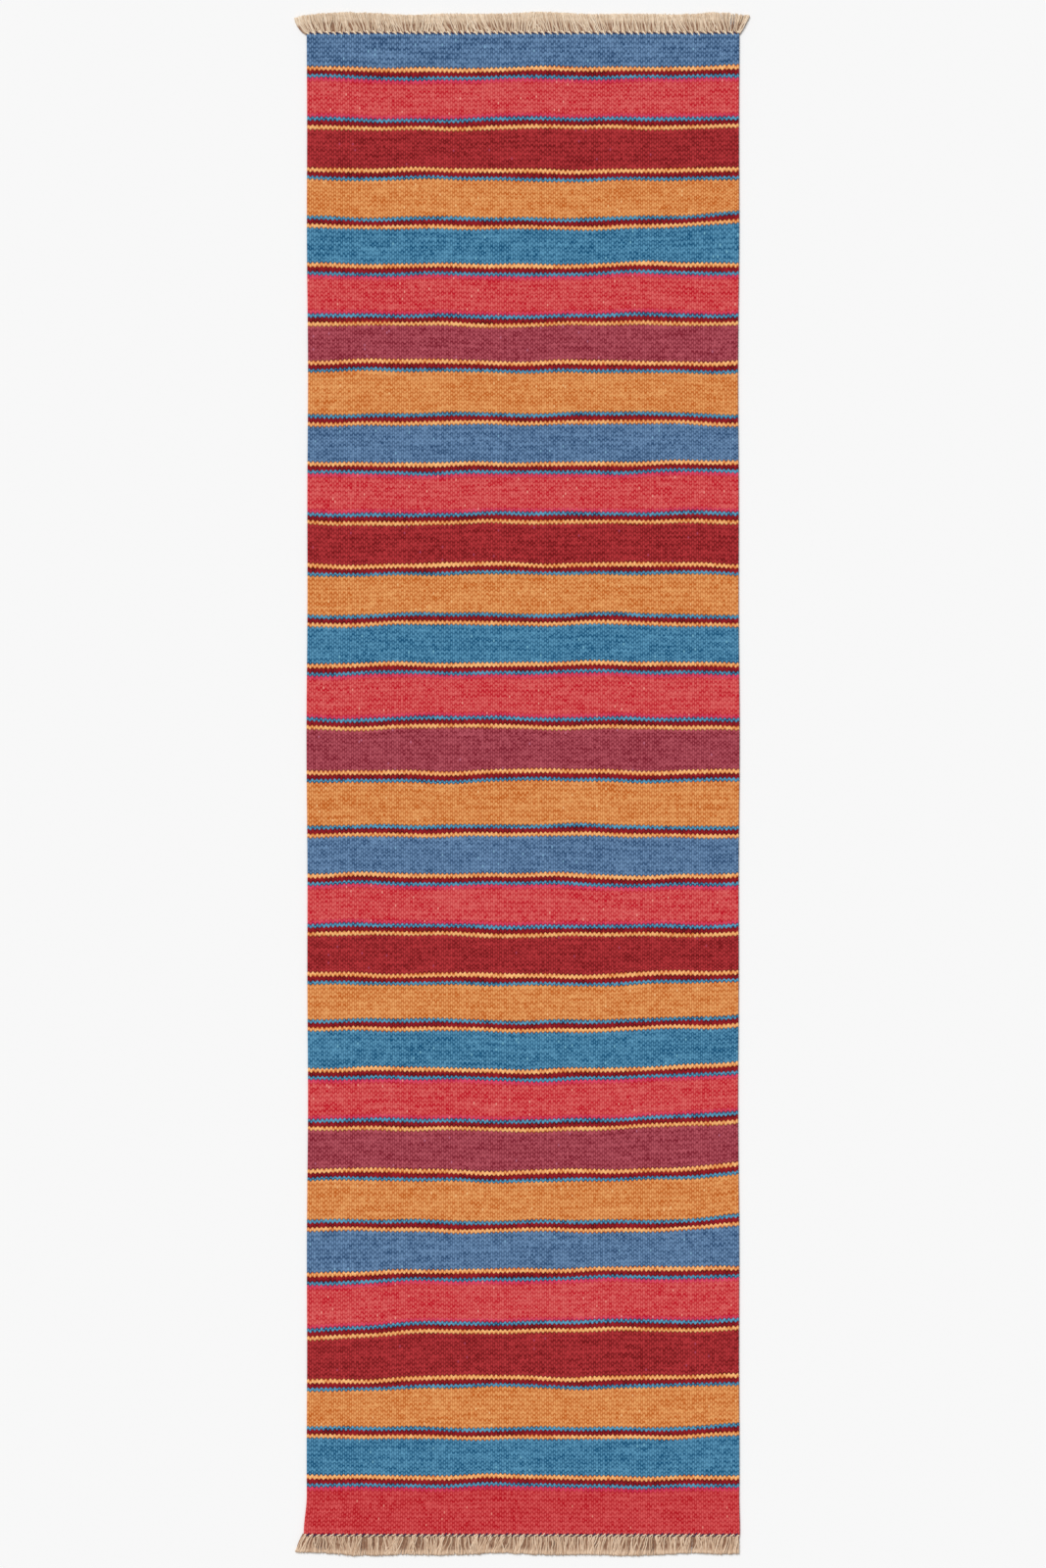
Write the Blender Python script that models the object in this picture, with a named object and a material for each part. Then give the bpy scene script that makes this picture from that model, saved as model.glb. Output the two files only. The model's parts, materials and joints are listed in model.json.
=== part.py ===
"""Runner rug: a weft-faced wool cloth in thirty colour bands, woven on one set of warps and fringed at both ends.

Frame: metres, +Z up, +Y along the rug towards its head end, +X to the right when seen from above with the
head end furthest away. The origin lies on the floor under the middle of the rug.

How it is built: the warps run the whole length. The wefts wrap round them, so each band of one colour is a flat
sleeve with the warps inside it, and so is each guard, a group of three thin lines between two bands. Past the
last band the warps come out, are held by a twined end row, and hang free as a knotted fringe.

How it moves: the rug is put away by folding it in four. The head and foot quarters turn over onto the two middle
quarters, and the two halves then turn over onto each other. Each fold line is the middle of a guard. A cloth
bends there, so the guard on a fold line has no stiff sleeve of its own: the bands beside it run on to the line.
"""

import math

import bmesh
import bpy
from mathutils import Vector

# Driving dimensions
CLOTH_WIDTH = 0.800  # from selvedge to selvedge
CLOTH_THICKNESS = 0.004
PICK = 0.004  # length of cloth that one pass of weft adds
GUARD_LINES = 3
GUARD_LINE_PICKS = 2
SELVEDGE_ROUND = 0.0012  # radius of the cloth's long edges
SELVEDGE_WALL = 0.003  # weft outside the outermost warp
WARP_THICKNESS = 0.0012
CLEARANCE = 0.0003  # between pieces that touch on the real rug

FRINGE_LENGTH = 0.042  # from the cloth's end to the tips, end row included
FRINGE_THICKNESS = 0.003
END_ROW = 0.006  # depth of the twined row that holds the warps
KNOTS = 64  # knotted bunches of warps in each fringe
BUNCH_WIDTH = 0.0095
TIP_LENGTH = 0.004  # the rounded end of a bunch
HEAD_SPREAD = 0.022  # how far the head fringe fans out past each selvedge
FOOT_SPREAD = 0.010

FOLD_RISE = 0.001  # fold line's height over the cloth's face, one layer folded onto one
HALF_FOLD_RISE = 0.0065  # the same for the middle fold, with the quarters already folded in

# Passes of weft in each band, from the head end to the foot end
BAND_PICKS = (
    15, 17, 18, 16, 16, 17, 16, 18, 17, 17, 18, 17, 17, 19, 19,
    19, 17, 17, 17, 15, 17, 17, 18, 17, 17, 18, 20, 17, 17, 22,
)  # fmt: skip
YARN_ORDER = ("steel_blue", "rose", "dark_red", "orange", "teal_blue", "rose", "plum", "orange")
LAST_YARN = "rose"  # the weaver closes the last band with rose, out of the repeat

# The guards, counted from the head end, whose middle is a fold line
HEAD_FOLD_GUARD = 7
MIDDLE_FOLD_GUARD = 15
FOOT_FOLD_GUARD = 23

# Base colour (linear), roughness and metallic value of each yarn
FINISHES = {
    "steel_blue": ((0.093, 0.178, 0.314), 0.95, 0.0),
    "rose": ((0.610, 0.069, 0.072), 0.95, 0.0),
    "dark_red": ((0.328, 0.025, 0.027), 0.95, 0.0),
    "orange": ((0.680, 0.254, 0.076), 0.95, 0.0),
    "teal_blue": ((0.054, 0.188, 0.328), 0.95, 0.0),
    "plum": ((0.323, 0.050, 0.072), 0.95, 0.0),
    "guard_yarns": ((0.162, 0.006, 0.012), 0.95, 0.0),
    "warp_yarn": ((0.610, 0.485, 0.352), 0.90, 0.0),
}

# Worked out from the driving dimensions
GUARD = PICK * GUARD_LINES * GUARD_LINE_PICKS
BANDS = len(BAND_PICKS)
GUARDS = BANDS - 1
WOVEN_LENGTH = PICK * sum(BAND_PICKS) + GUARD * GUARDS
HEAD_END = WOVEN_LENGTH / 2
FOOT_END = -HEAD_END
CHANNEL_WIDTH = CLOTH_WIDTH - 2 * SELVEDGE_WALL
CHANNEL_HEIGHT = WARP_THICKNESS + 2 * CLEARANCE
WARP_WIDTH = CHANNEL_WIDTH - 2 * CLEARANCE
MID_HEIGHT = CLOTH_THICKNESS / 2
INTO_END_ROW = END_ROW / 2  # how far the warps' sheet runs into the twined row that grips them


def band_head_edge(number):
    """The y of band `number`'s edge nearest the head end. Band 1 is at the head."""
    before = number - 1
    return HEAD_END - PICK * sum(BAND_PICKS[:before]) - GUARD * before


def band_foot_edge(number):
    """The y of band `number`'s edge nearest the foot end."""
    return band_head_edge(number) - PICK * BAND_PICKS[number - 1]


def guard_middle(number):
    """The y of the middle of guard `number`, which lies between band `number` and the next."""
    return band_foot_edge(number) - GUARD / 2


HEAD_FOLD = guard_middle(HEAD_FOLD_GUARD)
MIDDLE_FOLD = guard_middle(MIDDLE_FOLD_GUARD)
FOOT_FOLD = guard_middle(FOOT_FOLD_GUARD)
FOLDS = {HEAD_FOLD_GUARD: HEAD_FOLD, MIDDLE_FOLD_GUARD: MIDDLE_FOLD, FOOT_FOLD_GUARD: FOOT_FOLD}


def clear_scene():
    """Removes every object of the scene."""
    for old in list(bpy.data.objects):
        bpy.data.objects.remove(old)


def yarn_material(name):
    """The Principled material of one yarn, made on first use."""
    material = bpy.data.materials.get(name)
    if material is None:
        colour, roughness, metallic = FINISHES[name]
        material = bpy.data.materials.new(name)
        material.use_nodes = True
        shader = material.node_tree.nodes["Principled BSDF"]
        shader.inputs["Base Color"].default_value = (*colour, 1.0)
        shader.inputs["Roughness"].default_value = roughness
        shader.inputs["Metallic"].default_value = metallic
        material.diffuse_color = (*colour, 1.0)
    return material


def add_object(name, mesh, centre, quarter, yarn=None):
    """Puts a mesh into the scene at a world point, carried by a quarter's empty."""
    piece = bpy.data.objects.new(name, mesh)
    bpy.context.scene.collection.objects.link(piece)
    piece.parent = quarter
    carried_from = quarter["world_origin"] if quarter else (0, 0, 0)
    piece.location = Vector(centre) - Vector(carried_from)
    if yarn:
        mesh.materials.append(yarn_material(yarn))
    return piece


def add_quarter(name, axis_point, carried_by=None):
    """An empty on a fold line, which everything beyond that line is parented to."""
    quarter = add_object(name, None, axis_point, carried_by)
    quarter["world_origin"] = axis_point
    return quarter


def box_mesh(name, width, length, height):
    """A box centred on its own origin."""
    shape = bmesh.new()
    bmesh.ops.create_cube(shape, size=1.0)
    bmesh.ops.scale(shape, vec=(width, length, height), verts=shape.verts)
    mesh = bpy.data.meshes.new(name)
    shape.to_mesh(mesh)
    shape.free()
    return mesh


def round_long_edges(mesh, radius):
    """Bevels the edges of a box that run along Y."""
    shape = bmesh.new()
    shape.from_mesh(mesh)
    long_edges = []
    for edge in shape.edges:
        run = edge.verts[1].co - edge.verts[0].co
        if abs(run.y) > max(abs(run.x), abs(run.z)):
            long_edges.append(edge)
    bmesh.ops.bevel(shape, geom=long_edges, offset=radius, segments=2, profile=0.5, affect="EDGES")
    shape.to_mesh(mesh)
    shape.free()


def prism_mesh(name, outline, height):
    """A closed outline in the XY plane, given anticlockwise, raised from z = 0 to `height`."""
    shape = bmesh.new()
    floor = shape.faces.new([shape.verts.new((x, y, 0.0)) for x, y in outline])
    raised = bmesh.ops.extrude_face_region(shape, geom=[floor], use_keep_orig=True)
    tops = [item for item in raised["geom"] if isinstance(item, bmesh.types.BMVert)]
    bmesh.ops.translate(shape, vec=(0, 0, height), verts=tops)
    bmesh.ops.recalc_face_normals(shape, faces=shape.faces)
    mesh = bpy.data.meshes.new(name)
    shape.to_mesh(mesh)
    shape.free()
    return mesh


def as_helper(piece):
    """Marks an object as a cutter or a shape to be joined, which is not a piece of the rug."""
    piece.hide_render = True
    piece.display_type = "WIRE"
    return piece


def add_boolean(piece, helper, operation):
    """Cuts a helper's shape from a piece, or joins it to the piece."""
    step = piece.modifiers.new(helper.name, "BOOLEAN")
    step.operation = operation
    step.object = helper
    step.solver = "EXACT"


def add_warp_channel():
    """The slot that the warps run through, cut from every sleeve."""
    mesh = box_mesh("warp_channel", CHANNEL_WIDTH, WOVEN_LENGTH + FRINGE_LENGTH, CHANNEL_HEIGHT)
    return as_helper(add_object("warp_channel", mesh, (0, 0, MID_HEIGHT), None))


def add_sleeve(name, head_edge, foot_edge, quarter, yarn, channel):
    """One stretch of weft: a flat sleeve round the warps, a clearance short of its neighbours."""
    length = head_edge - foot_edge - CLEARANCE
    mesh = box_mesh(name, CLOTH_WIDTH, length, CLOTH_THICKNESS)
    round_long_edges(mesh, SELVEDGE_ROUND)
    centre = (0, (head_edge + foot_edge) / 2, MID_HEIGHT)
    sleeve = add_object(name, mesh, centre, quarter, yarn)
    add_boolean(sleeve, channel, "DIFFERENCE")


def add_warps(name, head_edge, foot_edge, quarter):
    """One quarter's warps, side by side inside the sleeves, as a thin sheet."""
    length = head_edge - foot_edge - CLEARANCE
    mesh = box_mesh(name, WARP_WIDTH, length, WARP_THICKNESS)
    centre = (0, (head_edge + foot_edge) / 2, MID_HEIGHT)
    return add_object(name, mesh, centre, quarter, "warp_yarn")


def comb_outline(spread, root, tip):
    """The fringe seen from above: a strip inside the end row, with a tapered bunch for each knot.

    The bunches stand side by side along the strip and fan out, so that the outer ones end `spread`
    past the selvedges. Root and tip are y values in the fringe's own frame, which points along +Y.
    """
    pitch = WARP_WIDTH / KNOTS
    fan = (CLOTH_WIDTH / 2 + spread - BUNCH_WIDTH / 2) / ((WARP_WIDTH - pitch) / 2)
    outline = [(-WARP_WIDTH / 2, 0.0), (WARP_WIDTH / 2, 0.0), (WARP_WIDTH / 2, root)]
    for knot in reversed(range(KNOTS)):
        at_root = (knot - (KNOTS - 1) / 2) * pitch
        at_tip = at_root * fan
        half = BUNCH_WIDTH / 2
        outline += [
            (at_root + half, root),
            (at_tip + half, tip - TIP_LENGTH),
            (at_tip + half / 2, tip),
            (at_tip - half / 2, tip),
            (at_tip - half, tip - TIP_LENGTH),
            (at_root - half, root),
        ]
    outline.append((-WARP_WIDTH / 2, root))
    return outline


def add_fringe(warps, end, quarter, name, spread, cloth_end, outwards):
    """Joins the twined end row and the knotted bunches to the warps that they are made of.

    `outwards` is +1 at the head end and -1 at the foot end, where the fringe is turned round.
    """
    row_start = cloth_end + outwards * CLEARANCE
    row_mesh = box_mesh(end + "_row", CLOTH_WIDTH, END_ROW, CLOTH_THICKNESS)
    round_long_edges(row_mesh, SELVEDGE_ROUND)
    row_middle = row_start + outwards * INTO_END_ROW
    row = as_helper(add_object(end + "_row", row_mesh, (0, row_middle, MID_HEIGHT), quarter))
    add_boolean(warps, row, "UNION")

    tip = FRINGE_LENGTH - CLEARANCE - INTO_END_ROW
    comb_mesh = prism_mesh(name, comb_outline(spread, END_ROW, tip), FRINGE_THICKNESS)
    comb = as_helper(add_object(name, comb_mesh, (0, row_middle, 0), quarter))
    comb.rotation_euler.z = 0.0 if outwards > 0 else math.pi
    add_boolean(warps, comb, "UNION")


def add_wefts(quarters, channel):
    """Every band's and every guard's sleeve. The bands beside a fold line run on to that line."""
    for number in range(1, BANDS + 1):
        yarn = LAST_YARN if number == BANDS else YARN_ORDER[(number - 1) % len(YARN_ORDER)]
        quarter = quarter_of(number, quarters)
        head_edge = FOLDS.get(number - 1, band_head_edge(number))
        foot_edge = FOLDS.get(number, band_foot_edge(number))
        add_sleeve(f"band_{number:02d}_{yarn}", head_edge, foot_edge, quarter, yarn, channel)
    for number in range(1, GUARDS + 1):
        if number in FOLDS:
            continue
        quarter = quarter_of(number, quarters)
        head_edge = band_foot_edge(number)
        foot_edge = band_head_edge(number + 1)
        add_sleeve(f"guard_{number:02d}_lines", head_edge, foot_edge, quarter, "guard_yarns", channel)


def quarter_of(number, quarters):
    """The quarter that band `number`, and the guard after it, belong to."""
    if number <= HEAD_FOLD_GUARD:
        return quarters["head"]
    if number <= MIDDLE_FOLD_GUARD:
        return quarters["second"]
    if number <= FOOT_FOLD_GUARD:
        return quarters["third"]
    return quarters["foot"]


def build():
    """Builds the whole rug, laid flat."""
    clear_scene()
    fold_height = CLOTH_THICKNESS + FOLD_RISE
    half_fold_height = CLOTH_THICKNESS + HALF_FOLD_RISE
    second = add_quarter("second_quarter", (0, 0, 0))
    head = add_quarter("fold_head_axis", (0, HEAD_FOLD, fold_height), second)
    third = add_quarter("fold_middle_axis", (0, MIDDLE_FOLD, half_fold_height), second)
    foot = add_quarter("fold_foot_axis", (0, FOOT_FOLD, fold_height), third)
    quarters = {"head": head, "second": second, "third": third, "foot": foot}

    add_wefts(quarters, add_warp_channel())

    head_warps = add_warps("head_warps_and_fringe", HEAD_END + INTO_END_ROW, HEAD_FOLD, head)
    add_warps("second_quarter_warps", HEAD_FOLD, MIDDLE_FOLD, second)
    add_warps("third_quarter_warps", MIDDLE_FOLD, FOOT_FOLD, third)
    foot_warps = add_warps("foot_warps_and_fringe", FOOT_FOLD, FOOT_END - INTO_END_ROW, foot)
    add_fringe(head_warps, "head", head, "head_fringe", HEAD_SPREAD, HEAD_END, 1)
    add_fringe(foot_warps, "foot", foot, "foot_fringe", FOOT_SPREAD, FOOT_END, -1)


build()
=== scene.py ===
"""Looks of a hand-woven striped wool runner rug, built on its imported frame.

The cloth is a weft-faced plain weave. Thick wefts wrap round about two hundred warps, so the face shows
ribs that run along the rug, and on each rib the weft shows as short floats. Floats on neighbouring ribs
lie half a float apart, which is why every change of colour is a fine zigzag. All cloth pieces share one
rule for these zigzags and for the slow waves of the weft lines, so that neighbouring pieces meet along
the same edge.
"""

import json
import logging
import math
from dataclasses import dataclass, field
from enum import Enum
from functools import cached_property

import bpy
import numpy as np
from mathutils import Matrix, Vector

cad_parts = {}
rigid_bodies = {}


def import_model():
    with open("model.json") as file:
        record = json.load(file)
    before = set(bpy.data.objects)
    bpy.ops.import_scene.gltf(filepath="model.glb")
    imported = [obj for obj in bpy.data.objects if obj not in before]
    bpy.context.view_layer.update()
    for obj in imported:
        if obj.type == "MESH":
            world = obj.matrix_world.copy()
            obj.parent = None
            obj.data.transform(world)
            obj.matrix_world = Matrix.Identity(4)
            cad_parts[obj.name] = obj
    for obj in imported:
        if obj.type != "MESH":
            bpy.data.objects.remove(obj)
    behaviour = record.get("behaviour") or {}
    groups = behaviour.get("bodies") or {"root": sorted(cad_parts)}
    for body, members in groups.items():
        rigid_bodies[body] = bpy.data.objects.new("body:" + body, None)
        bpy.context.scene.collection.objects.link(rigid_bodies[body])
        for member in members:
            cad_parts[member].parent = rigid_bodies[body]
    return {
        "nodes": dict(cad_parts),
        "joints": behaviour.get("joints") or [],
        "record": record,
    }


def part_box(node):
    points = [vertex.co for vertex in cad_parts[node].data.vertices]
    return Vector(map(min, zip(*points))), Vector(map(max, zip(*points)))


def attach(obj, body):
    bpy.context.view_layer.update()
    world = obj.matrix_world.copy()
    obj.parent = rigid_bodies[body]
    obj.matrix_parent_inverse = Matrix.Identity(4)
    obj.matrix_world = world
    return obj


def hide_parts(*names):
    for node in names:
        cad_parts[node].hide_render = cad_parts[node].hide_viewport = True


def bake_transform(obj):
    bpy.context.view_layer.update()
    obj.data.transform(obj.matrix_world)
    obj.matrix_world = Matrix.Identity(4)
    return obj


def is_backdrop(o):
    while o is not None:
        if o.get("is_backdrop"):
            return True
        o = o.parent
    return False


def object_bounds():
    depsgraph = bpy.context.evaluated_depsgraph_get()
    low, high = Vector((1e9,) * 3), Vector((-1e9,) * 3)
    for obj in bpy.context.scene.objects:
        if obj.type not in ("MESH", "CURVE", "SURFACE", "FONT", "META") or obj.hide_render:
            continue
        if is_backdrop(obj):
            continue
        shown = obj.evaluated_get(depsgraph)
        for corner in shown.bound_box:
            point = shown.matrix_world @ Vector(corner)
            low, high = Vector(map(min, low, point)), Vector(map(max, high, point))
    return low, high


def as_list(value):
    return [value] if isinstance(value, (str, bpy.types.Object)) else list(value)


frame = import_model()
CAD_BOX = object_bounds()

LOG = logging.getLogger("runner_rug")
MM = 0.001

Colour = tuple[float, float, float]  # in linear light
Shade = tuple[int, int, int]  # on a 0 to 255 display scale
Socket = bpy.types.NodeSocket
Sockets = bpy.types.bpy_prop_collection
Feed = Socket | float | tuple[float, ...]  # what a node's input takes
Inputs = dict[int | str, Feed]
FLOAT, COLOUR, VECTOR = "NodeSocketFloat", "NodeSocketColor", "NodeSocketVector"


class End(Enum):
    """The two fringed ends of the rug, with the way that each points along Y."""

    HEAD = 1
    FOOT = -1


def smooth_step(values: np.ndarray, low: float, high: float) -> np.ndarray:
    """A cubic ramp from 0 at `low` to 1 at `high`: 3t^2 - 2t^3.

    Args:
        values: where to read the ramp.
        low: the value at which it leaves 0.
        high: the value at which it reaches 1.

    Returns:
        The ramp's height at each value.
    """
    t = np.clip((values - low) / (high - low), 0.0, 1.0)
    return t * t * (3.0 - 2.0 * t)


def waves(places: np.ndarray, *sines: tuple[float, float, float]) -> np.ndarray:
    """A sum of sines, each given by its height, its turn for each metre in radians, and its phase."""
    return sum(high * np.sin(places * rate + phase) for high, rate, phase in sines)


def dye(red: int, green: int, blue: int) -> Colour:
    """Turns a colour chosen on a 0 to 255 display scale into linear light.

    Args:
        red: the red part.
        green: the green part.
        blue: the blue part.

    Returns:
        The linear colour that materials use.
    """
    parts = np.array([red, green, blue]) / 255.0
    linear = np.where(parts <= 0.04045, parts / 12.92, ((parts + 0.055) / 1.055) ** 2.4)
    return tuple(float(part) for part in linear)


def new_mesh(name: str, points: np.ndarray, faces: list[np.ndarray]) -> bpy.types.Object:
    """Makes a smooth-shaded mesh object from whole arrays.

    Args:
        name: the piece's name.
        points: an array of points, three numbers each.
        faces: arrays of point indices, one row for each face, each array with its own number of corners.

    Returns:
        The new object, at the origin and linked to the scene.
    """
    corners = np.concatenate([block.ravel() for block in faces])
    counts = np.concatenate([np.full(len(block), block.shape[1]) for block in faces])
    starts = np.concatenate([[0], np.cumsum(counts)[:-1]])
    mesh = bpy.data.meshes.new(name)
    mesh.vertices.add(len(points))
    mesh.vertices.foreach_set("co", np.asarray(points, np.float32).ravel())
    mesh.loops.add(len(corners))
    mesh.loops.foreach_set("vertex_index", corners.astype(np.int32))
    mesh.polygons.add(len(counts))
    mesh.polygons.foreach_set("loop_start", starts.astype(np.int32))
    mesh.polygons.foreach_set("use_smooth", np.ones(len(counts), bool))
    mesh.update(calc_edges=True)
    mesh.validate()
    piece = bpy.data.objects.new(name, mesh)
    bpy.context.scene.collection.objects.link(piece)
    return piece


def add_map(piece: bpy.types.Object, name: str, places: np.ndarray) -> None:
    """Gives a piece a UV map, from one pair of numbers for each face corner.

    Args:
        piece: the piece.
        name: the map's name.
        places: the pairs, in the order of the mesh's face corners.
    """
    layer = piece.data.uv_layers.new(name=name)
    layer.data.foreach_set("uv", np.asarray(places, np.float32).ravel())


# --------------------------------------------------------------------------- finishes


class Wiring:
    """Short ways to add nodes to one node tree and join them up."""

    def __init__(self, tree: bpy.types.NodeTree) -> None:
        """Keeps the tree that nodes are added to."""
        self.tree = tree

    def node(self, kind: str, inputs: Inputs | None = None, **settings: object) -> bpy.types.Node:
        """Adds a node.

        Args:
            kind: the node's type name, after "ShaderNode".
            inputs: socket name or number to a value or to another node's output.
            **settings: the node's own properties.

        Returns:
            The node.
        """
        made = self.tree.nodes.new("ShaderNode" + kind)
        for name, value in settings.items():
            setattr(made, name, value)
        self.feed(made, inputs or {})
        return made

    def feed(self, node: bpy.types.Node, inputs: Inputs) -> None:
        """Links outputs to a node's sockets, or sets the sockets' own values."""
        for name, value in inputs.items():
            socket = node.inputs[name]
            if isinstance(value, Socket):
                self.tree.links.new(value, socket)
            elif isinstance(value, tuple) and socket.type == "RGBA":
                socket.default_value = (*value, 1.0)
            else:
                socket.default_value = value

    def math(self, operation: str, *values: Feed, clamp: bool = False) -> Socket:
        """A Math node's result.

        Args:
            operation: the node's operation.
            *values: its inputs, as numbers or outputs.
            clamp: whether the result is kept from 0 to 1.

        Returns:
            The node's output.
        """
        inputs = dict(enumerate(values))
        return self.node("Math", inputs, operation=operation, use_clamp=clamp).outputs[0]

    def times(self, first: Feed, second: Feed) -> Socket:
        """Two numbers multiplied."""
        return self.math("MULTIPLY", first, second)

    def less(self, first: Feed, second: Feed) -> Socket:
        """The second number taken from the first."""
        return self.math("SUBTRACT", first, second)

    def times_plus(self, first: Feed, second: Feed, third: Feed, clamp: bool = False) -> Socket:
        """Two numbers multiplied and a third added, kept from 0 to 1 if `clamp` is true."""
        return self.math("MULTIPLY_ADD", first, second, third, clamp=clamp)

    def ramp(self, value: Feed, low: Feed, high: Feed) -> Socket:
        """A smooth ramp from 0 at `low` to 1 at `high`."""
        inputs = {"Value": value, "From Min": low, "From Max": high}
        return self.node("MapRange", inputs, interpolation_type="SMOOTHSTEP").outputs[0]

    def mix(self, share: Feed, first: Feed, second: Feed) -> Socket:
        """Two colours mixed, all of the first at 0 and all of the second at 1."""
        return self.node("Mix", {0: share, 6: first, 7: second}, data_type="RGBA").outputs[2]

    def varied(self, middle: Feed, changes: list[tuple[Feed, float]]) -> Socket:
        """A number with changes added to it, each a value from 0 to 1 and how much its range counts."""
        for value, weight in changes:
            middle = self.times_plus(self.less(value, 0.5), weight, middle)
        return middle

    def parts(self, vector: Feed) -> list[Socket]:
        """A vector's three parts."""
        return list(self.node("SeparateXYZ", {0: vector}).outputs)

    def joined(self, x: Feed, y: Feed) -> Socket:
        """A vector from its first two parts."""
        return self.node("CombineXYZ", {0: x, 1: y}).outputs[0]

    def stretched(self, vector: Feed, scale: tuple[float, float, float]) -> Socket:
        """A vector with each part multiplied."""
        return self.node("VectorMath", {0: vector, 1: scale}, operation="MULTIPLY").outputs[0]

    def noise(self, vector: Feed, scale: float = 1.0, detail: float = 2.0) -> Socket:
        """Smooth noise from 0 to 1, read at a vector."""
        inputs = {"Vector": vector, "Scale": scale, "Detail": detail, "Roughness": 0.6}
        return self.node("TexNoise", inputs).outputs["Fac"]

    def chances(self, vector: Feed) -> tuple[Socket, Socket]:
        """Two random numbers from 0 to 1 that belong to a vector's first two parts."""
        made = self.node("TexWhiteNoise", {"Vector": vector}, noise_dimensions="2D").outputs
        return made["Value"], self.node("SeparateColor", {0: made["Color"]}).outputs[1]

    def map(self, name: str) -> Socket:
        """The place in one of the piece's own UV maps."""
        return self.node("UVMap", uv_map=name).outputs[0]


def new_group(name: str, inputs: dict[str, str]) -> tuple[Wiring, bpy.types.Node, bpy.types.Node]:
    """Starts a shader node group that puts out a colour, a roughness and a height.

    Args:
        name: the group's name.
        inputs: each input's name and socket type.

    Returns:
        The group's wiring, its input node and its output node.
    """
    tree = bpy.data.node_groups.new(name, "ShaderNodeTree")
    for label, kind in inputs.items():
        tree.interface.new_socket(name=label, in_out="INPUT", socket_type=kind)
    for label, kind in {"Color": COLOUR, "Roughness": FLOAT, "Height": FLOAT}.items():
        tree.interface.new_socket(name=label, in_out="OUTPUT", socket_type=kind)
    return Wiring(tree), tree.nodes.new("NodeGroupInput"), tree.nodes.new("NodeGroupOutput")


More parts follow.
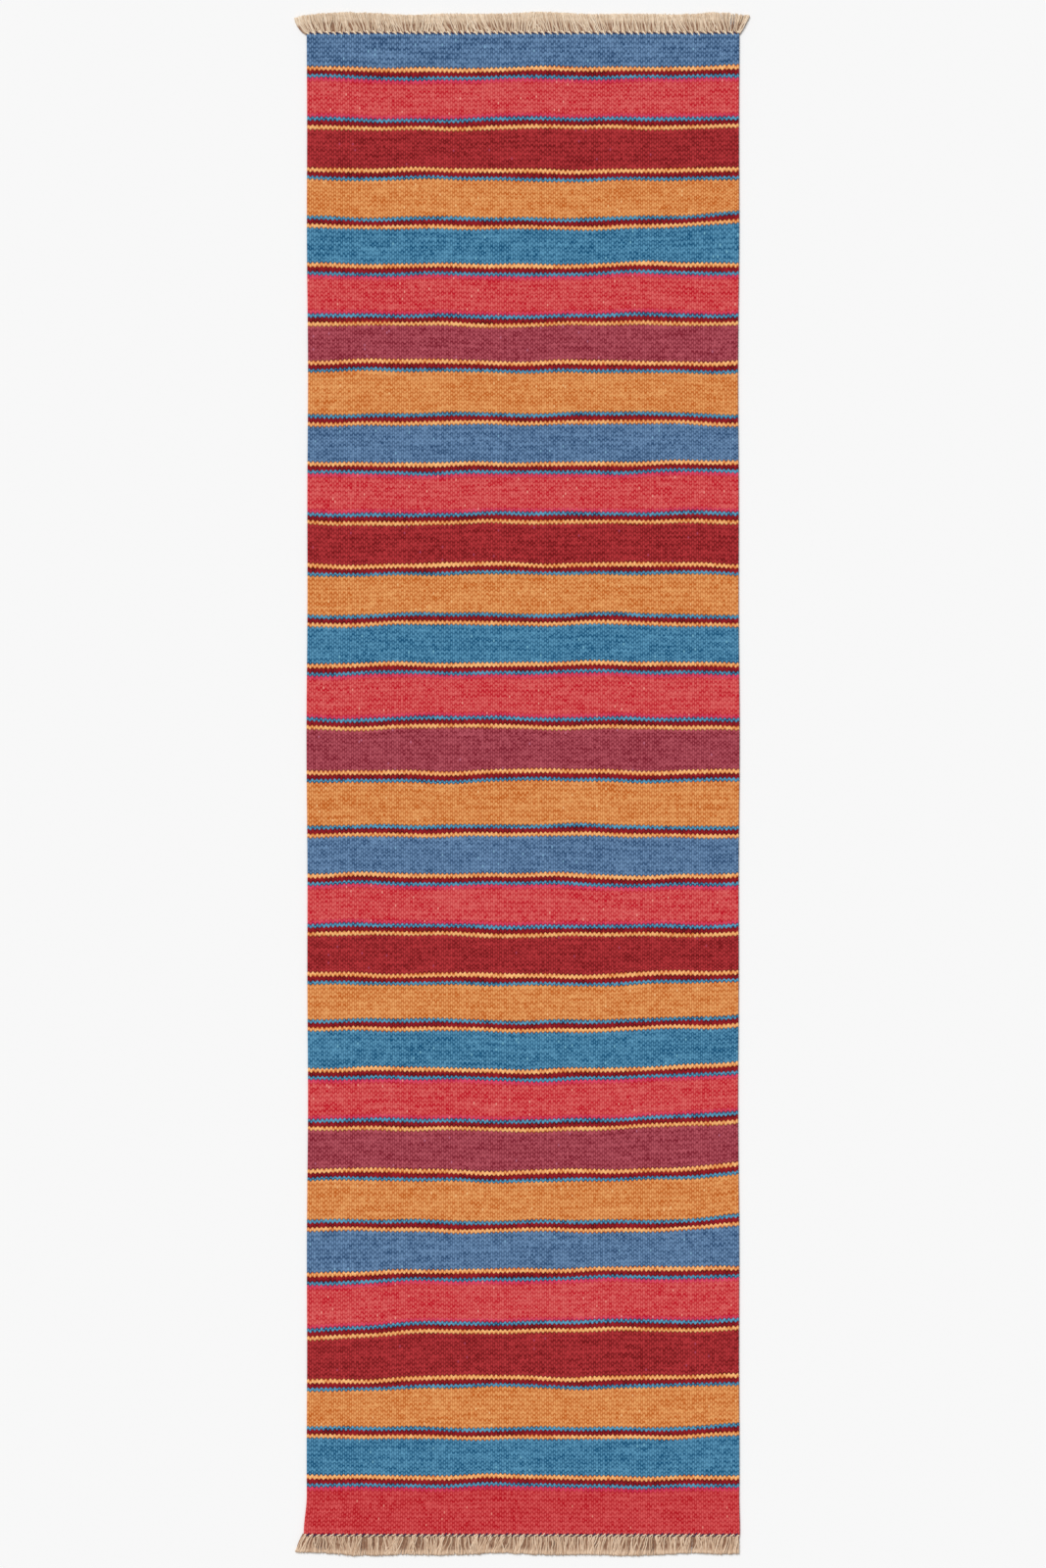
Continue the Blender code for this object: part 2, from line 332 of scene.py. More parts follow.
@dataclass(frozen=True)
class WeftGroup:
    """The shared effect of a dyed wool weft: mottled dye, painted shade in the gaps between ribs and at
    float ends, a painted highlight on each float's crown, and yarn twist.

    The weave map counts ribs across the cloth and floats along it, so a whole number is a gap between
    ribs or the end of a float. Dye varies from float to float, along each rib, and slowly along the rug.
    Places on a rib or float are counted from its middle, so that its edge is at 0.5.
    """

    relief: tuple[float, float] = (0.35, 0.6 * MM)  # the bump's strength and depth
    # painted shade: how much darker the gaps between ribs and the ends of floats are drawn, and where
    # that starts
    rib_gap: float = 0.28
    float_gap: float = 0.36
    rib_gap_shade_from: float = 0.26
    float_gap_shade_from: float = 0.34
    crown_across: tuple[float, float] = (0.34, 0.08)  # where the crown, which takes a painted highlight and the flecks, starts and is full
    crown_along: tuple[float, float] = (0.36, 0.06)
    # painted highlight on each float's crown, and how much it changes from float to float
    crown_highlight: float = 0.42
    crown_highlight_change: float = 0.36
    rib_streaks: float = 0.3
    pick_streaks: float = 1.05
    grain: float = 0.5
    grains: float = 420.0  # for each metre
    float_change: float = 0.26
    pick_change: float = 0.3
    middle: float = 0.37
    twists: float = 2.0
    twist_relief: float = 0.45
    fibres: float = 1500.0  # for each metre
    fibre_relief: float = 0.35
    roughness: tuple[float, float] = (0.82, 0.16)  # between fibres, and how much is added on them
    fleck_strength: float = 0.8
    shadow_richness: float = 1.12
    shadow_value: float = 0.42

    @cached_property
    def tree(self) -> bpy.types.NodeTree:
        """Builds the group on first use."""
        sockets = {
            "Weave": VECTOR,
            "Place": VECTOR,
            "Light": COLOUR,
            "Dark": COLOUR,
            "Fleck": COLOUR,
            "Fleck Share": FLOAT,
            "Contrast": FLOAT,
        }
        wires, start, out = new_group("Dyed weft", sockets)
        given = start.outputs
        cell = self._cell(wires, given["Weave"])
        dyed = wires.mix(self._tone(wires, given, cell), given["Dark"], given["Light"])
        flecked = wires.mix(self._fleck(wires, given, cell), dyed, given["Fleck"])
        shadow = {"Color": flecked, "Saturation": self.shadow_richness, "Value": self.shadow_value}
        shadowed = wires.node("HueSaturation", shadow).outputs[0]
        # painted shade: the gaps between ribs and floats take the darker, richer copy of the colour
        gap_shade = wires.math("ADD", cell["rib_gap"], cell["float_gap"], clamp=True)
        fibre = wires.noise(given["Place"], self.fibres, 3.0)
        height = wires.times_plus(cell["twist"], self.twist_relief, cell["round"])
        results = {
            "Color": wires.mix(gap_shade, flecked, shadowed),
            "Roughness": wires.times_plus(fibre, self.roughness[1], self.roughness[0]),
            "Height": wires.times_plus(fibre, self.fibre_relief, height),
        }
        wires.feed(out, results)
        return wires.tree

    def _cell(self, wires: Wiring, weave: Feed) -> dict[str, Socket]:
        """Where a spot lies on its float, and two random numbers that belong to that float."""
        across, length = wires.parts(weave)[:2]
        side = wires.math("ABSOLUTE", wires.less(wires.math("FRACT", across), 0.5))
        end = wires.math("ABSOLUTE", wires.less(wires.math("FRACT", length), 0.5))
        on_crown = wires.ramp(side, *self.crown_across), wires.ramp(end, *self.crown_along)
        rib = wires.math("FLOOR", across)
        first, second = wires.chances(wires.joined(rib, wires.math("FLOOR", length)))
        turns = wires.times(wires.math("ADD", length, across), self.twists * math.tau)
        return {
            "across": across,
            "length": length,
            "rib": rib,
            "first": first,
            "second": second,
            # painted shade in the gaps between ribs and at the ends of floats
            "rib_gap": wires.times(wires.ramp(side, self.rib_gap_shade_from, 0.5), self.rib_gap),
            "float_gap": wires.times(wires.ramp(end, self.float_gap_shade_from, 0.5), self.float_gap),
            "crown": wires.times(*on_crown),
            "twist": wires.times_plus(wires.math("SINE", turns), 0.5, 0.5),
            "round": wires.times_plus(wires.times(side, side), -3.0, 1.0),
        }

    def _tone(self, wires: Wiring, given: Sockets, cell: dict[str, Socket]) -> Socket:
        """How light the dye is, from 0 to 1, along each rib and pick and in fine grain, with a painted
        highlight added on each crown.

        A streak is noise read along a line. The factors set lines apart and make the noise run slowly.
        """
        pick = wires.math("FLOOR", wires.times(cell["length"], 2.0))
        rib_line = wires.joined(wires.times(cell["rib"], 5.7), wires.times(cell["length"], 0.22))
        pick_line = wires.joined(wires.times(cell["across"], 0.045), wires.times(pick, 7.3))
        grain_place = wires.stretched(given["Place"], (self.grains, self.grains, 1.0))
        stitch = wires.chances(wires.joined(cell["rib"], wires.math("ADD", pick, 0.5)))[0]
        changes = [
            (wires.noise(rib_line), self.rib_streaks),
            (wires.noise(pick_line, detail=3.0), self.pick_streaks),
            (wires.noise(grain_place), self.grain),
            (stitch, self.pick_change),
            (cell["second"], self.float_change),
        ]
        # painted highlight: each float's crown is drawn lighter, by a random amount
        glint = wires.times_plus(cell["first"], self.crown_highlight_change, self.crown_highlight)
        total = wires.times_plus(cell["crown"], glint, wires.varied(0.0, changes))
        return wires.times_plus(total, given["Contrast"], self.middle, clamp=True)

    def _fleck(self, wires: Wiring, given: Sockets, cell: dict[str, Socket]) -> Socket:
        """Above 0 on the crowns of the few floats where a lighter fibre was spun in."""
        picked = wires.math("GREATER_THAN", cell["second"], wires.less(1.0, given["Fleck Share"]))
        return wires.times(wires.times(picked, cell["crown"]), self.fleck_strength)


WEFT = WeftGroup()


MATT_WOOL = {"Specular IOR Level": 0.12, "Sheen Weight": 0.05, "Sheen Roughness": 0.6}


def plain_material(name: str, values: Inputs) -> tuple[bpy.types.Material, Wiring, bpy.types.Node]:
    """Starts a material with its constants on the shader itself.

    Args:
        name: the material's name.
        values: the shader's own values.

    Returns:
        The material, its wiring and its shader.
    """
    material = bpy.data.materials.new(name)
    material.use_nodes = True
    wires = Wiring(material.node_tree)
    shader = material.node_tree.nodes["Principled BSDF"]
    wires.feed(shader, values)
    return material, wires, shader


def wool_material(
    name: str, tree: bpy.types.NodeTree, relief: tuple[float, float]
) -> tuple[bpy.types.Material, Wiring, bpy.types.Node]:
    """Starts a material for matt wool, whose colour, roughness and relief come from a group.

    Args:
        name: the material's name.
        tree: the group's tree.
        relief: the bump's strength and depth.

    Returns:
        The material, its wiring and the group's node, whose other inputs are still to be fed.
    """
    material, wires, shader = plain_material(name, MATT_WOOL)
    group = wires.node("Group", node_tree=tree)
    wires.feed(group, {"Place": wires.node("TexCoord").outputs["Object"]})
    made = group.outputs
    bump = wires.node("Bump", {"Strength": relief[0], "Distance": relief[1], "Height": made["Height"]})
    finish = {"Base Color": made["Color"], "Roughness": made["Roughness"], "Normal": bump.outputs[0]}
    wires.feed(shader, finish)
    return material, wires, group


@dataclass(frozen=True)
class WoolDye:
    """One dyed weft yarn: its lighter and darker shades and the odd fleck in it."""

    name: str
    light: Colour
    dark: Colour
    fleck: Colour
    fleck_share: float = 0.01
    contrast: float = 1.5
    edge: Colour | None = None  # a stray shade in the floats next to a guard
    edge_floats: tuple[float, float] = (1.1, 0.3)  # from the guard: where the stray starts and is full
    edge_strength: float = 0.65
    edge_dark: float = 0.55  # the stray shade's dark, as a share of its light

    @cached_property
    def material(self) -> bpy.types.Material:
        """Builds the yarn's material on first use."""
        return weft_material(self.name + "_wool", [self])


def weft_material(name: str, dyes: list[WoolDye]) -> bpy.types.Material:
    """A woven material in one dye, or in several that take turns float by float along the rug.

    Args:
        name: the material's name.
        dyes: the dyes, in order from the head end.

    Returns:
        The material.
    """
    material, wires, group = wool_material(name, WEFT.tree, WEFT.relief)
    weave, wool = wires.map("Weave"), dyes[0]
    light: Feed = wool.light
    dark: Feed = wool.dark
    if len(dyes) > 1:
        line = wires.math("FLOOR", wires.math("MODULO", wires.parts(weave)[1], float(len(dyes))))
        for number, other in enumerate(dyes[1:]):
            past = wires.math("GREATER_THAN", line, number + 0.5)
            light = wires.mix(past, light, other.light)
            dark = wires.mix(past, dark, other.dark)
    if wool.edge:
        nearest = wires.math("MINIMUM", *wires.parts(wires.map("Edge"))[:2])
        stray = wires.times(wires.ramp(nearest, *wool.edge_floats), wool.edge_strength)
        light = wires.mix(stray, light, wool.edge)
        dark = wires.mix(stray, dark, tuple(wool.edge_dark * part for part in wool.edge))
    inputs = {
        "Weave": weave,
        "Light": light,
        "Dark": dark,
        "Fleck": wool.fleck,
        "Fleck Share": wool.fleck_share if len(dyes) == 1 else 0.0,
        "Contrast": wool.contrast,
    }
    wires.feed(group, inputs)
    return material


@dataclass(frozen=True)
class YarnGroup:
    """The shared effect of plied yarn as round strands: uneven tone, fibres, and a brown painted shade
    in the hollows of the pile and between the knots.

    The strand map's u is a number that belongs to the strand, with its height in the pile, from 0 at the
    floor to 1 at the top, after the point. Its v is the distance along the strand in metres.
    """

    relief: tuple[float, float] = (0.4, 0.5 * MM)  # the bump's strength and depth
    strand_change: float = 0.9
    cloud_change: float = 1.2
    clouds: float = 160.0  # for each metre
    fibre_change: float = 0.5
    fibres: float = 1800.0  # for each metre
    fibre_stretch: float = 0.35
    roughness: tuple[float, float] = (0.75, 0.2)  # between fibres, and how much is added on them
    cloud_shade_range: tuple[float, float] = (0.1, 0.55)  # where in a cloud the painted brown shade starts and is full
    hollow_heights: tuple[float, float] = (0.95, 0.15)  # where in the pile the painted brown shade starts and is full
    root_end: float = 4.0 * MM  # the painted shade between the knots reaches this far
    root_shade: float = 0.7
    tip_fade: float = 12.0 * MM

    @cached_property
    def tree(self) -> bpy.types.NodeTree:
        """Builds the group on first use."""
        sockets = {
            "Strand": VECTOR,
            "Place": VECTOR,
            "Light": COLOUR,
            "Dark": COLOUR,
            "Hollow": COLOUR,
            "Tip From": FLOAT,
        }
        wires, start, out = new_group("Plied yarn", sockets)
        given = start.outputs
        number, distance = wires.parts(given["Strand"])[:2]
        strand = {"W": wires.math("FLOOR", number)}
        own = wires.node("TexWhiteNoise", strand, noise_dimensions="1D").outputs[0]
        cloud = wires.noise(given["Place"], self.clouds)
        drawn_out = wires.stretched(given["Place"], (1.0, self.fibre_stretch, 1.0))
        fibre = wires.noise(drawn_out, self.fibres, 3.0)
        changes = [(own, self.strand_change), (cloud, self.cloud_change), (fibre, self.fibre_change)]
        tone = wires.math("ADD", wires.varied(0.5, changes), 0.0, clamp=True)
        # painted brown shade: deeper in the pile and near the roots the strand takes the hollow colour,
        # less so towards the tip
        depth = wires.ramp(wires.math("FRACT", number), *self.hollow_heights)
        tip_full = wires.less(given["Tip From"], self.tip_fade)
        before_tip = wires.ramp(distance, given["Tip From"], tip_full)
        root = wires.times(wires.ramp(distance, self.root_end, 0.0), self.root_shade)
        painted_shade = wires.times(wires.math("MAXIMUM", depth, root), before_tip)
        painted_shade = wires.times(painted_shade, wires.ramp(cloud, *self.cloud_shade_range))
        results = {
            "Color": wires.mix(painted_shade, wires.mix(tone, given["Dark"], given["Light"]), given["Hollow"]),
            "Roughness": wires.times_plus(fibre, self.roughness[1], self.roughness[0]),
            "Height": fibre,
        }
        wires.feed(out, results)
        return wires.tree


YARN = YarnGroup()


@dataclass(frozen=True)
class PliedYarn:
    """One plied yarn: its lighter and darker shades, and the brown that is painted as shade deep in a
    pile.
    """

    name: str
    light: Colour
    dark: Colour
    # the brown painted as shade deep in the pile
    hollow: Colour
    tip_from: float  # from here on the strand has no painted shade and is as pale as its outside

    @cached_property
    def material(self) -> bpy.types.Material:
        """Builds the yarn's material on first use."""
        material, wires, group = wool_material(self.name, YARN.tree, YARN.relief)
        inputs = {
            "Strand": wires.map("Strand"),
            "Light": self.light,
            "Dark": self.dark,
            "Hollow": self.hollow,
            "Tip From": self.tip_from,
        }
        wires.feed(group, inputs)
        return material


def band_wool(name: str, light: Shade, dark: Shade, fleck: Shade, edge: Shade | None = None) -> WoolDye:
    """A band's wool, from its shades on a 0 to 255 display scale."""
    return WoolDye(name, dye(*light), dye(*dark), dye(*fleck), edge=dye(*edge) if edge else None)


def guard_wool(name: str, light: Shade, dark: Shade, fleck: Shade) -> WoolDye:
    """A guard line's wool, which has no flecks and a stronger play of light and dark."""
    return WoolDye(name, dye(*light), dye(*dark), dye(*fleck), fleck_share=0.0, contrast=2.0)


def plied_yarn(
    name: str, light: Shade, dark: Shade, hollow: Shade, tip_from: float = 30.0 * MM
) -> PliedYarn:
    """A plied yarn, from its shades on a 0 to 255 display scale."""
    return PliedYarn(name, dye(*light), dye(*dark), dye(*hollow), tip_from)


class Dyes:
    """The rug's palette."""

    bands = {
        "steel_blue": band_wool("steel_blue", (112, 146, 184), (46, 78, 116), (140, 190, 215)),
        "rose": band_wool("rose", (226, 105, 102), (196, 8, 34), (245, 180, 160), (226, 46, 106)),
        "dark_red": band_wool("dark_red", (186, 54, 58), (118, 14, 18), (160, 80, 120)),
        "orange": band_wool("orange", (238, 168, 104), (198, 100, 32), (250, 205, 150)),
        "teal_blue": band_wool("teal_blue", (94, 154, 188), (8, 80, 120), (140, 200, 215)),
        "plum": band_wool("plum", (184, 86, 98), (126, 26, 44), (190, 120, 150)),
    }
    last_rose = band_wool("deeper_rose", (218, 88, 88), (184, 6, 26), (236, 160, 140), (220, 44, 98))
    guard_orange = guard_wool("guard_orange", (255, 194, 126), (206, 108, 48), (255, 220, 160))
    guard_red = guard_wool("guard_red", (156, 26, 36), (88, 0, 10), (140, 60, 60))
    guard_blue = guard_wool("guard_blue", (96, 164, 196), (18, 72, 108), (130, 200, 215))
    # each plied yarn's third shade is the brown painted as shade deep in its pile
    head_fringe = plied_yarn("head_fringe_yarn", (241, 222, 198), (207, 181, 153), (150, 112, 88))
    foot_fringe = plied_yarn(
        "foot_fringe_yarn", (236, 210, 183), (198, 165, 136), (148, 109, 85), 37.0 * MM
    )
    end_cream = plied_yarn("end_row_cream_yarn", (255, 244, 222), (236, 208, 172), (150, 104, 76))
    end_navy = plied_yarn("end_row_navy_yarn", (62, 44, 82), (26, 16, 44), (30, 16, 40))
    warp = plied_yarn("hidden_warp_yarn", (226, 208, 180), (196, 172, 142), (190, 168, 140))


# --------------------------------------------------------------------------- the weave


@dataclass(frozen=True)
class Weave:
    """The rules that every cloth piece shares: ribs across, floats along, zigzags between colours."""

    left: float
    right: float
    thickness: float
    ribs: int = 193
    float_length: float = 8.0 * MM
    tooth: float = 2.0 * MM
    rib_depth: float = 0.85 * MM
    float_pinch: float = 0.40 * MM
    selvedge_edge: float = 0.5 * MM
    selvedge_shoulder: float = 1.45 * MM

    @property
    def pitch(self) -> float:
        """The distance from rib to rib."""
        return (self.right - self.left) / self.ribs

    @cached_property
    def rib_count(self) -> np.ndarray:
        """Each mesh column's place across the cloth, counted in ribs.

        Halves are the middles of ribs and whole numbers the gaps between them. The two quarters nearest
        the selvedges are shoulders that round the edge.
        """
        inner = np.arange(0.5, self.ribs, 0.5)
        return np.concatenate([[0.0, 0.25], inner, [self.ribs - 0.25, self.ribs]])

    @cached_property
    def columns(self) -> np.ndarray:
        """The x of each mesh column."""
        return self.left + self.rib_count * self.pitch

    @cached_property
    def on_rib(self) -> np.ndarray:
        """1 on the columns along the middle of a rib, 0 on the others."""
        return (np.mod(self.rib_count, 1.0) == 0.5).astype(float)

    @cached_property
    def zigzag(self) -> np.ndarray:
        """How far along Y each column's floats are shifted: a tooth, one way and the other by turns."""
        side = np.where(np.floor(self.rib_count) % 2 == 0, 1.0, -1.0)
        return side * self.on_rib * self.tooth

    @cached_property
    def half_thickness(self) -> np.ndarray:
        """Half the cloth's thickness at each column: full on a rib, less in a gap or at a selvedge."""
        half = np.where(self.on_rib > 0, self.thickness / 2, self.thickness / 2 - self.rib_depth)
        half[[0, -1]] = self.selvedge_edge
        half[[1, -2]] = self.selvedge_shoulder
        return half

    def floats_in(self, length: float) -> int:
        """How many whole floats fill a length of cloth."""
        return max(1, round(length / self.float_length))


@dataclass(frozen=True)
class Drift:
    """A lean of some neighbouring weft lines near one selvedge."""

    guard: float  # the guard that leans most
    spread: float  # how many guards to each side lean with it
    height: float
    side: int  # +1 at the right selvedge, -1 at the left
    start: float  # where it starts, from 0 at the middle of the cloth to 1 at the selvedge

    def at(self, guard: int, x: np.ndarray, half_width: float) -> np.ndarray:
        """A guard's drift at each x: a bell over the guards times a square-law rise to the selvedge."""
        share = math.exp(-(((guard - self.guard) / self.spread) ** 2))
        rise = np.clip((self.side * x / half_width - self.start) / (1.0 - self.start), 0.0, 1.0)
        return share * self.height * rise**2


@dataclass(frozen=True)
class WeftLines:
    """How far each weft line strays from straight, as a hand-woven line does.

    A line's stray is a sum of three sines across the cloth with phases of its own, and drifts near a
    selvedge that some neighbouring guards share. The four edges of a guard's three lines stray together,
    with a little play of their own.
    """

    guards: int
    half_width: float
    wavelengths: tuple[float, ...] = (0.90, 0.38, 0.19)
    heights: tuple[float, ...] = (1.5 * MM, 1.3 * MM, 0.8 * MM)
    line_wavelengths: tuple[float, ...] = (0.31, 0.12)
    line_heights: tuple[float, ...] = (0.75 * MM, 0.45 * MM)
    drifts: tuple[Drift, ...] = (
        Drift(4.0, 0.4, 9.0 * MM, 1, 0.55),
        Drift(22.0, 2.6, 14.0 * MM, 1, 0.25),
        Drift(26.8, 1.6, 6.0 * MM, 1, 0.0),
        Drift(26.0, 1.5, -11.0 * MM, -1, 0.0),
    )
    shift: float = -2.5 * MM
    phase_step: float = 1.3  # how far a phase strays from one guard to the next, in radians
    seed: int = 11

    @cached_property
    def phases(self) -> np.ndarray:
        """A phase for each guard and sine, close to that of the guard before."""
        rng = np.random.default_rng(self.seed)
        steps = rng.normal(0.0, self.phase_step, (self.guards + 1, len(self.wavelengths)))
        return np.cumsum(steps, axis=0)

    @cached_property
    def line_phases(self) -> np.ndarray:
        """A phase for each guard, line edge and sine."""
        rng = np.random.default_rng(self.seed + 1)
        return rng.uniform(0.0, math.tau, (self.guards + 1, 4, len(self.line_wavelengths)))

    def stray(self, guard: int, edge: int, x: np.ndarray) -> np.ndarray:
        """The stray of one edge of one guard.

        Args:
            guard: the guard's number from the head end, or 0 or one past the last for the cloth's ends.
            edge: 0 to 3, the edges of the guard's three lines from the head end.
            x: where across the cloth.

        Returns:
            The stray along Y at each x.
        """
        if not 1 <= guard <= self.guards:
            return np.zeros_like(x)
        waves = zip(self.wavelengths, self.heights, self.phases[guard])
        total = sum(high * np.sin(math.tau * x / long + phase) for long, high, phase in waves)
        own = zip(self.line_wavelengths, self.line_heights, self.line_phases[guard, edge])
        total = total + sum(high * np.sin(math.tau * x / long + phase) for long, high, phase in own)
        leans = sum(drift.at(guard, x, self.half_width) for drift in self.drifts)
        return self.shift + total + leans


@dataclass(frozen=True)
class Lie:
    """How the finished rug lies: the selvedges wander a little, and the cloth spreads near its foot end.

    Every point is moved along X only, by an amount that depends on its place, so pieces that touch stay
    together.
    """

    foot_end: float
    half_width: float
    wander: float = 0.9 * MM
    left_spread: float = 6.5 * MM
    right_spread: float = 2.0 * MM
    spread_length: float = 75.0 * MM

    def settle(self, points: np.ndarray) -> np.ndarray:
        """Moves points from the straight cloth to where they lie.

        Args:
            points: an array of points, three numbers each, on its last axis.

        Returns:
            The moved points.
        """
        moved = points.copy()
        x, y = points[..., 0], points[..., 1]
        share = np.clip(x / self.half_width, -1.0, 1.0)
        wander = self.wander * waves(y, (1.0, 5.3, 1.1), (0.6, 13.7, 0.4)) * share
        near_foot = 1.0 - smooth_step(y, self.foot_end, self.foot_end + self.spread_length)
        left = -self.left_spread * near_foot * np.clip(-share, 0.0, 1.0) ** 2
        right = self.right_spread * near_foot * np.clip(share, 0.0, 1.0) ** 2
        moved[..., 0] = x + wander + left + right
        return moved


# --------------------------------------------------------------------------- cloth


@dataclass
class ClothPiece:
    """One stretch of woven cloth between two weft lines, as a closed piece with relief on both faces."""

    name: str
    weave: Weave
    lie: Lie
    head: np.ndarray  # y of the edge nearest the head end, without the zigzag, at each column
    foot: np.ndarray
    first_float: int  # number of its first float, counted from the head end
    floats: int
    plain_head: bool = False  # no zigzag on that edge, because an end row covers it
    plain_foot: bool = False
    float_lengths: tuple[float, ...] = ()  # the floats' shares of the length, where they differ
    under_count: float = 999.0  # what the weave map adds to the count of floats on the underside
    piece: bpy.types.Object = field(init=False)

    def build(self) -> bpy.types.Object:
        """Makes the mesh: a ring of rows, over the top from head to foot and back underneath.

        A row's y goes evenly from the head edge to the foot edge, plus the zigzag. Its height over the
        cloth's middle is the column's half thickness, less a pinch at each end of a float on the ribs.

        Returns:
            The cloth piece.
        """
        weave, rows = self.weave, 2 * self.floats
        row = np.arange(rows + 1)[:, None]
        zigzag = weave.zigzag[None, :] * self._zigzag_share(row, rows)
        y = self.head + (self.foot - self.head) * self._shares(rows)[:, None] + zigzag
        pinch = weave.float_pinch * weave.on_rib[None, :] * (row % 2 == 0)
        half = weave.half_thickness[None, :] - pinch
        x = np.broadcast_to(weave.columns, y.shape)
        middle = weave.thickness / 2
        top = np.stack([x, y, middle + half], axis=-1)
        under = np.stack([x, y, middle - half], axis=-1)[::-1]
        ring = self.lie.settle(np.concatenate([top, under]))
        self.piece = new_mesh(self.name, ring.reshape(-1, 3), self._faces(rows))
        self._add_maps(rows, y)
        return self.piece

    def _shares(self, rows: int) -> np.ndarray:
        """How far down the piece each row lies, from 0 at the head edge to 1 at the foot edge."""
        lengths = np.repeat(self.float_lengths or (1.0,) * self.floats, 2)
        return np.concatenate([[0.0], np.cumsum(lengths)]) / lengths.sum()

    def _zigzag_share(self, row: np.ndarray, rows: int) -> np.ndarray:
        """How much of the zigzag each row shows: none on a plain edge, all of it two rows further in."""
        share = np.ones_like(row, dtype=float)
        if self.plain_head:
            share = np.minimum(share, row / 2)
        if self.plain_foot:
            share = np.minimum(share, (rows - row) / 2)
        return share

    def _faces(self, rows: int) -> list[np.ndarray]:
        """Quads between neighbouring rows and columns of the ring, and across the two selvedges."""
        count, width = 2 * (rows + 1), len(self.weave.columns)
        start = (np.arange(count) * width)[:, None]
        after = (np.roll(np.arange(count), -1) * width)[:, None]
        column = np.arange(width - 1)[None, :]
        corners = [start + column, after + column, after + column + 1, start + column + 1]
        quads = np.stack(corners, axis=-1)
        over = np.arange(rows)
        below = count - 1 - over
        caps = []
        for edge, order in ((0, 1), (width - 1, -1)):
            cap = np.stack([over, below, below - 1, over + 1], axis=-1) * width + edge
            caps.append(cap[:, ::order])
        return [quads.reshape(-1, 4), *caps]

    def _add_maps(self, rows: int, y: np.ndarray) -> None:
        """Adds the weave map, the edge map and the map that a bake goes through.

        The weave map's u counts ribs and its v floats. The underside counts on from a high number, so
        that its dye differs. The edge map gives the distance to the head and foot edge in floats.
        """
        count, width = 2 * (rows + 1), len(self.weave.columns)
        row = np.arange(rows) / 2
        top = self.first_float + np.stack([row, row + 0.5], axis=-1)
        inside = 0.02  # of a rib or float, so that a wall takes the look of the cloth beside it
        foot_wall = np.full((1, 2), self.first_float + self.floats - inside)
        head_wall = np.full((1, 2), self.first_float + inside)
        under = (top + self.under_count)[::-1, ::-1]
        v = np.concatenate([top, foot_wall, under, head_wall])
        across = np.stack([self.weave.rib_count[:-1], self.weave.rib_count[1:]], axis=-1)
        shape = (count, width - 1, 4)
        weave_u = np.broadcast_to(across[None, :, [0, 0, 1, 1]], shape)
        weave_v = np.broadcast_to(v[:, None, [0, 1, 1, 0]], shape)
        cap_v = np.stack([row, row, row + 0.5, row + 0.5], axis=-1) + self.first_float
        caps_left = np.stack([np.full_like(cap_v, inside), cap_v], axis=-1)
        last_rib = np.full_like(cap_v, self.weave.ribs - inside)
        caps_right = np.stack([last_rib, cap_v[:, ::-1]], axis=-1)
        ring = np.stack([weave_u, weave_v], axis=-1)
        add_map(self.piece, "Weave", self._joined(ring, caps_left, caps_right))
        from_head = np.mod(ring[..., 1], self.under_count) - self.first_float % self.under_count
        far = np.full_like(from_head, self.floats)
        to_head = far if self.plain_head else from_head
        to_foot = far if self.plain_foot else self.floats - from_head
        edges = np.stack([to_head, to_foot], axis=-1)
        plain = np.full(caps_left.shape, float(self.floats))
        add_map(self.piece, "Edge", self._joined(edges, plain, plain))
        add_map(self.piece, "OFBake", self._strips(rows, y, across))

    def _strips(self, rows: int, y: np.ndarray, across: np.ndarray) -> np.ndarray:
        """The map that a bake goes through, which fills a square.

        Its v is the distance round the ring, and the width is cut into equal strips, one over the other.
        The selvedge faces have two slim columns at the right side.

        Args:
            rows: how many rows of faces the top has.
            y: the place of each row along the rug.
            across: each column of faces from rib count to rib count.

        Returns:
            A pair of numbers for each face corner.
        """
        weave = self.weave
        step = float(np.mean(y[0] - y[-1])) / rows
        lengths = [step] * rows + [weave.thickness] + [step] * rows + [weave.thickness]
        round_it = np.concatenate([[0.0], np.cumsum(lengths)])
        girth = round_it[-1]
        strips = max(1, round(math.sqrt((weave.right - weave.left) / girth)))
        gap, side = 0.004, 0.02  # between strips, and kept for the selvedge faces
        strip_width = weave.ribs / strips
        strip = np.minimum(np.floor(across[:, 0] / strip_width), strips - 1)
        share = (across - strip[:, None] * strip_width) / strip_width
        u = gap + (1.0 - side - 2 * gap) * np.clip(share, 0.0, 1.0)
        tall = 1.0 / strips - gap
        low = strip / strips + gap / 2
        v = np.stack([round_it[:-1], round_it[1:]], axis=-1) / girth
        shape = (len(lengths), len(across), 4)
        ring_u = np.broadcast_to(u[None, :, [0, 0, 1, 1]], shape)
        ring_v = low[None, :, None] + tall * np.broadcast_to(v[:, None, [0, 1, 1, 0]], shape)
        level = np.linspace(gap, 1.0 - gap, rows + 1)
        cap_v = np.stack([level[:-1], level[:-1], level[1:], level[1:]], axis=-1)
        column, wide, apart = 0.25 * side, 0.2 * side, 0.35 * side
        cap_u = 1.0 - side + column + np.array([0.0, wide, wide, 0.0])
        left = np.stack([np.broadcast_to(cap_u, cap_v.shape), cap_v], axis=-1)
        right = (left + [apart, 0.0])[:, ::-1]
        return self._joined(np.stack([ring_u, ring_v], axis=-1), left, right)

    @staticmethod
    def _joined(ring: np.ndarray, left: np.ndarray, right: np.ndarray) -> np.ndarray:
        """Puts the ring's and the selvedges' corners into the order of the faces."""
        return np.concatenate([ring.reshape(-1, 2), left.reshape(-1, 2), right.reshape(-1, 2)])


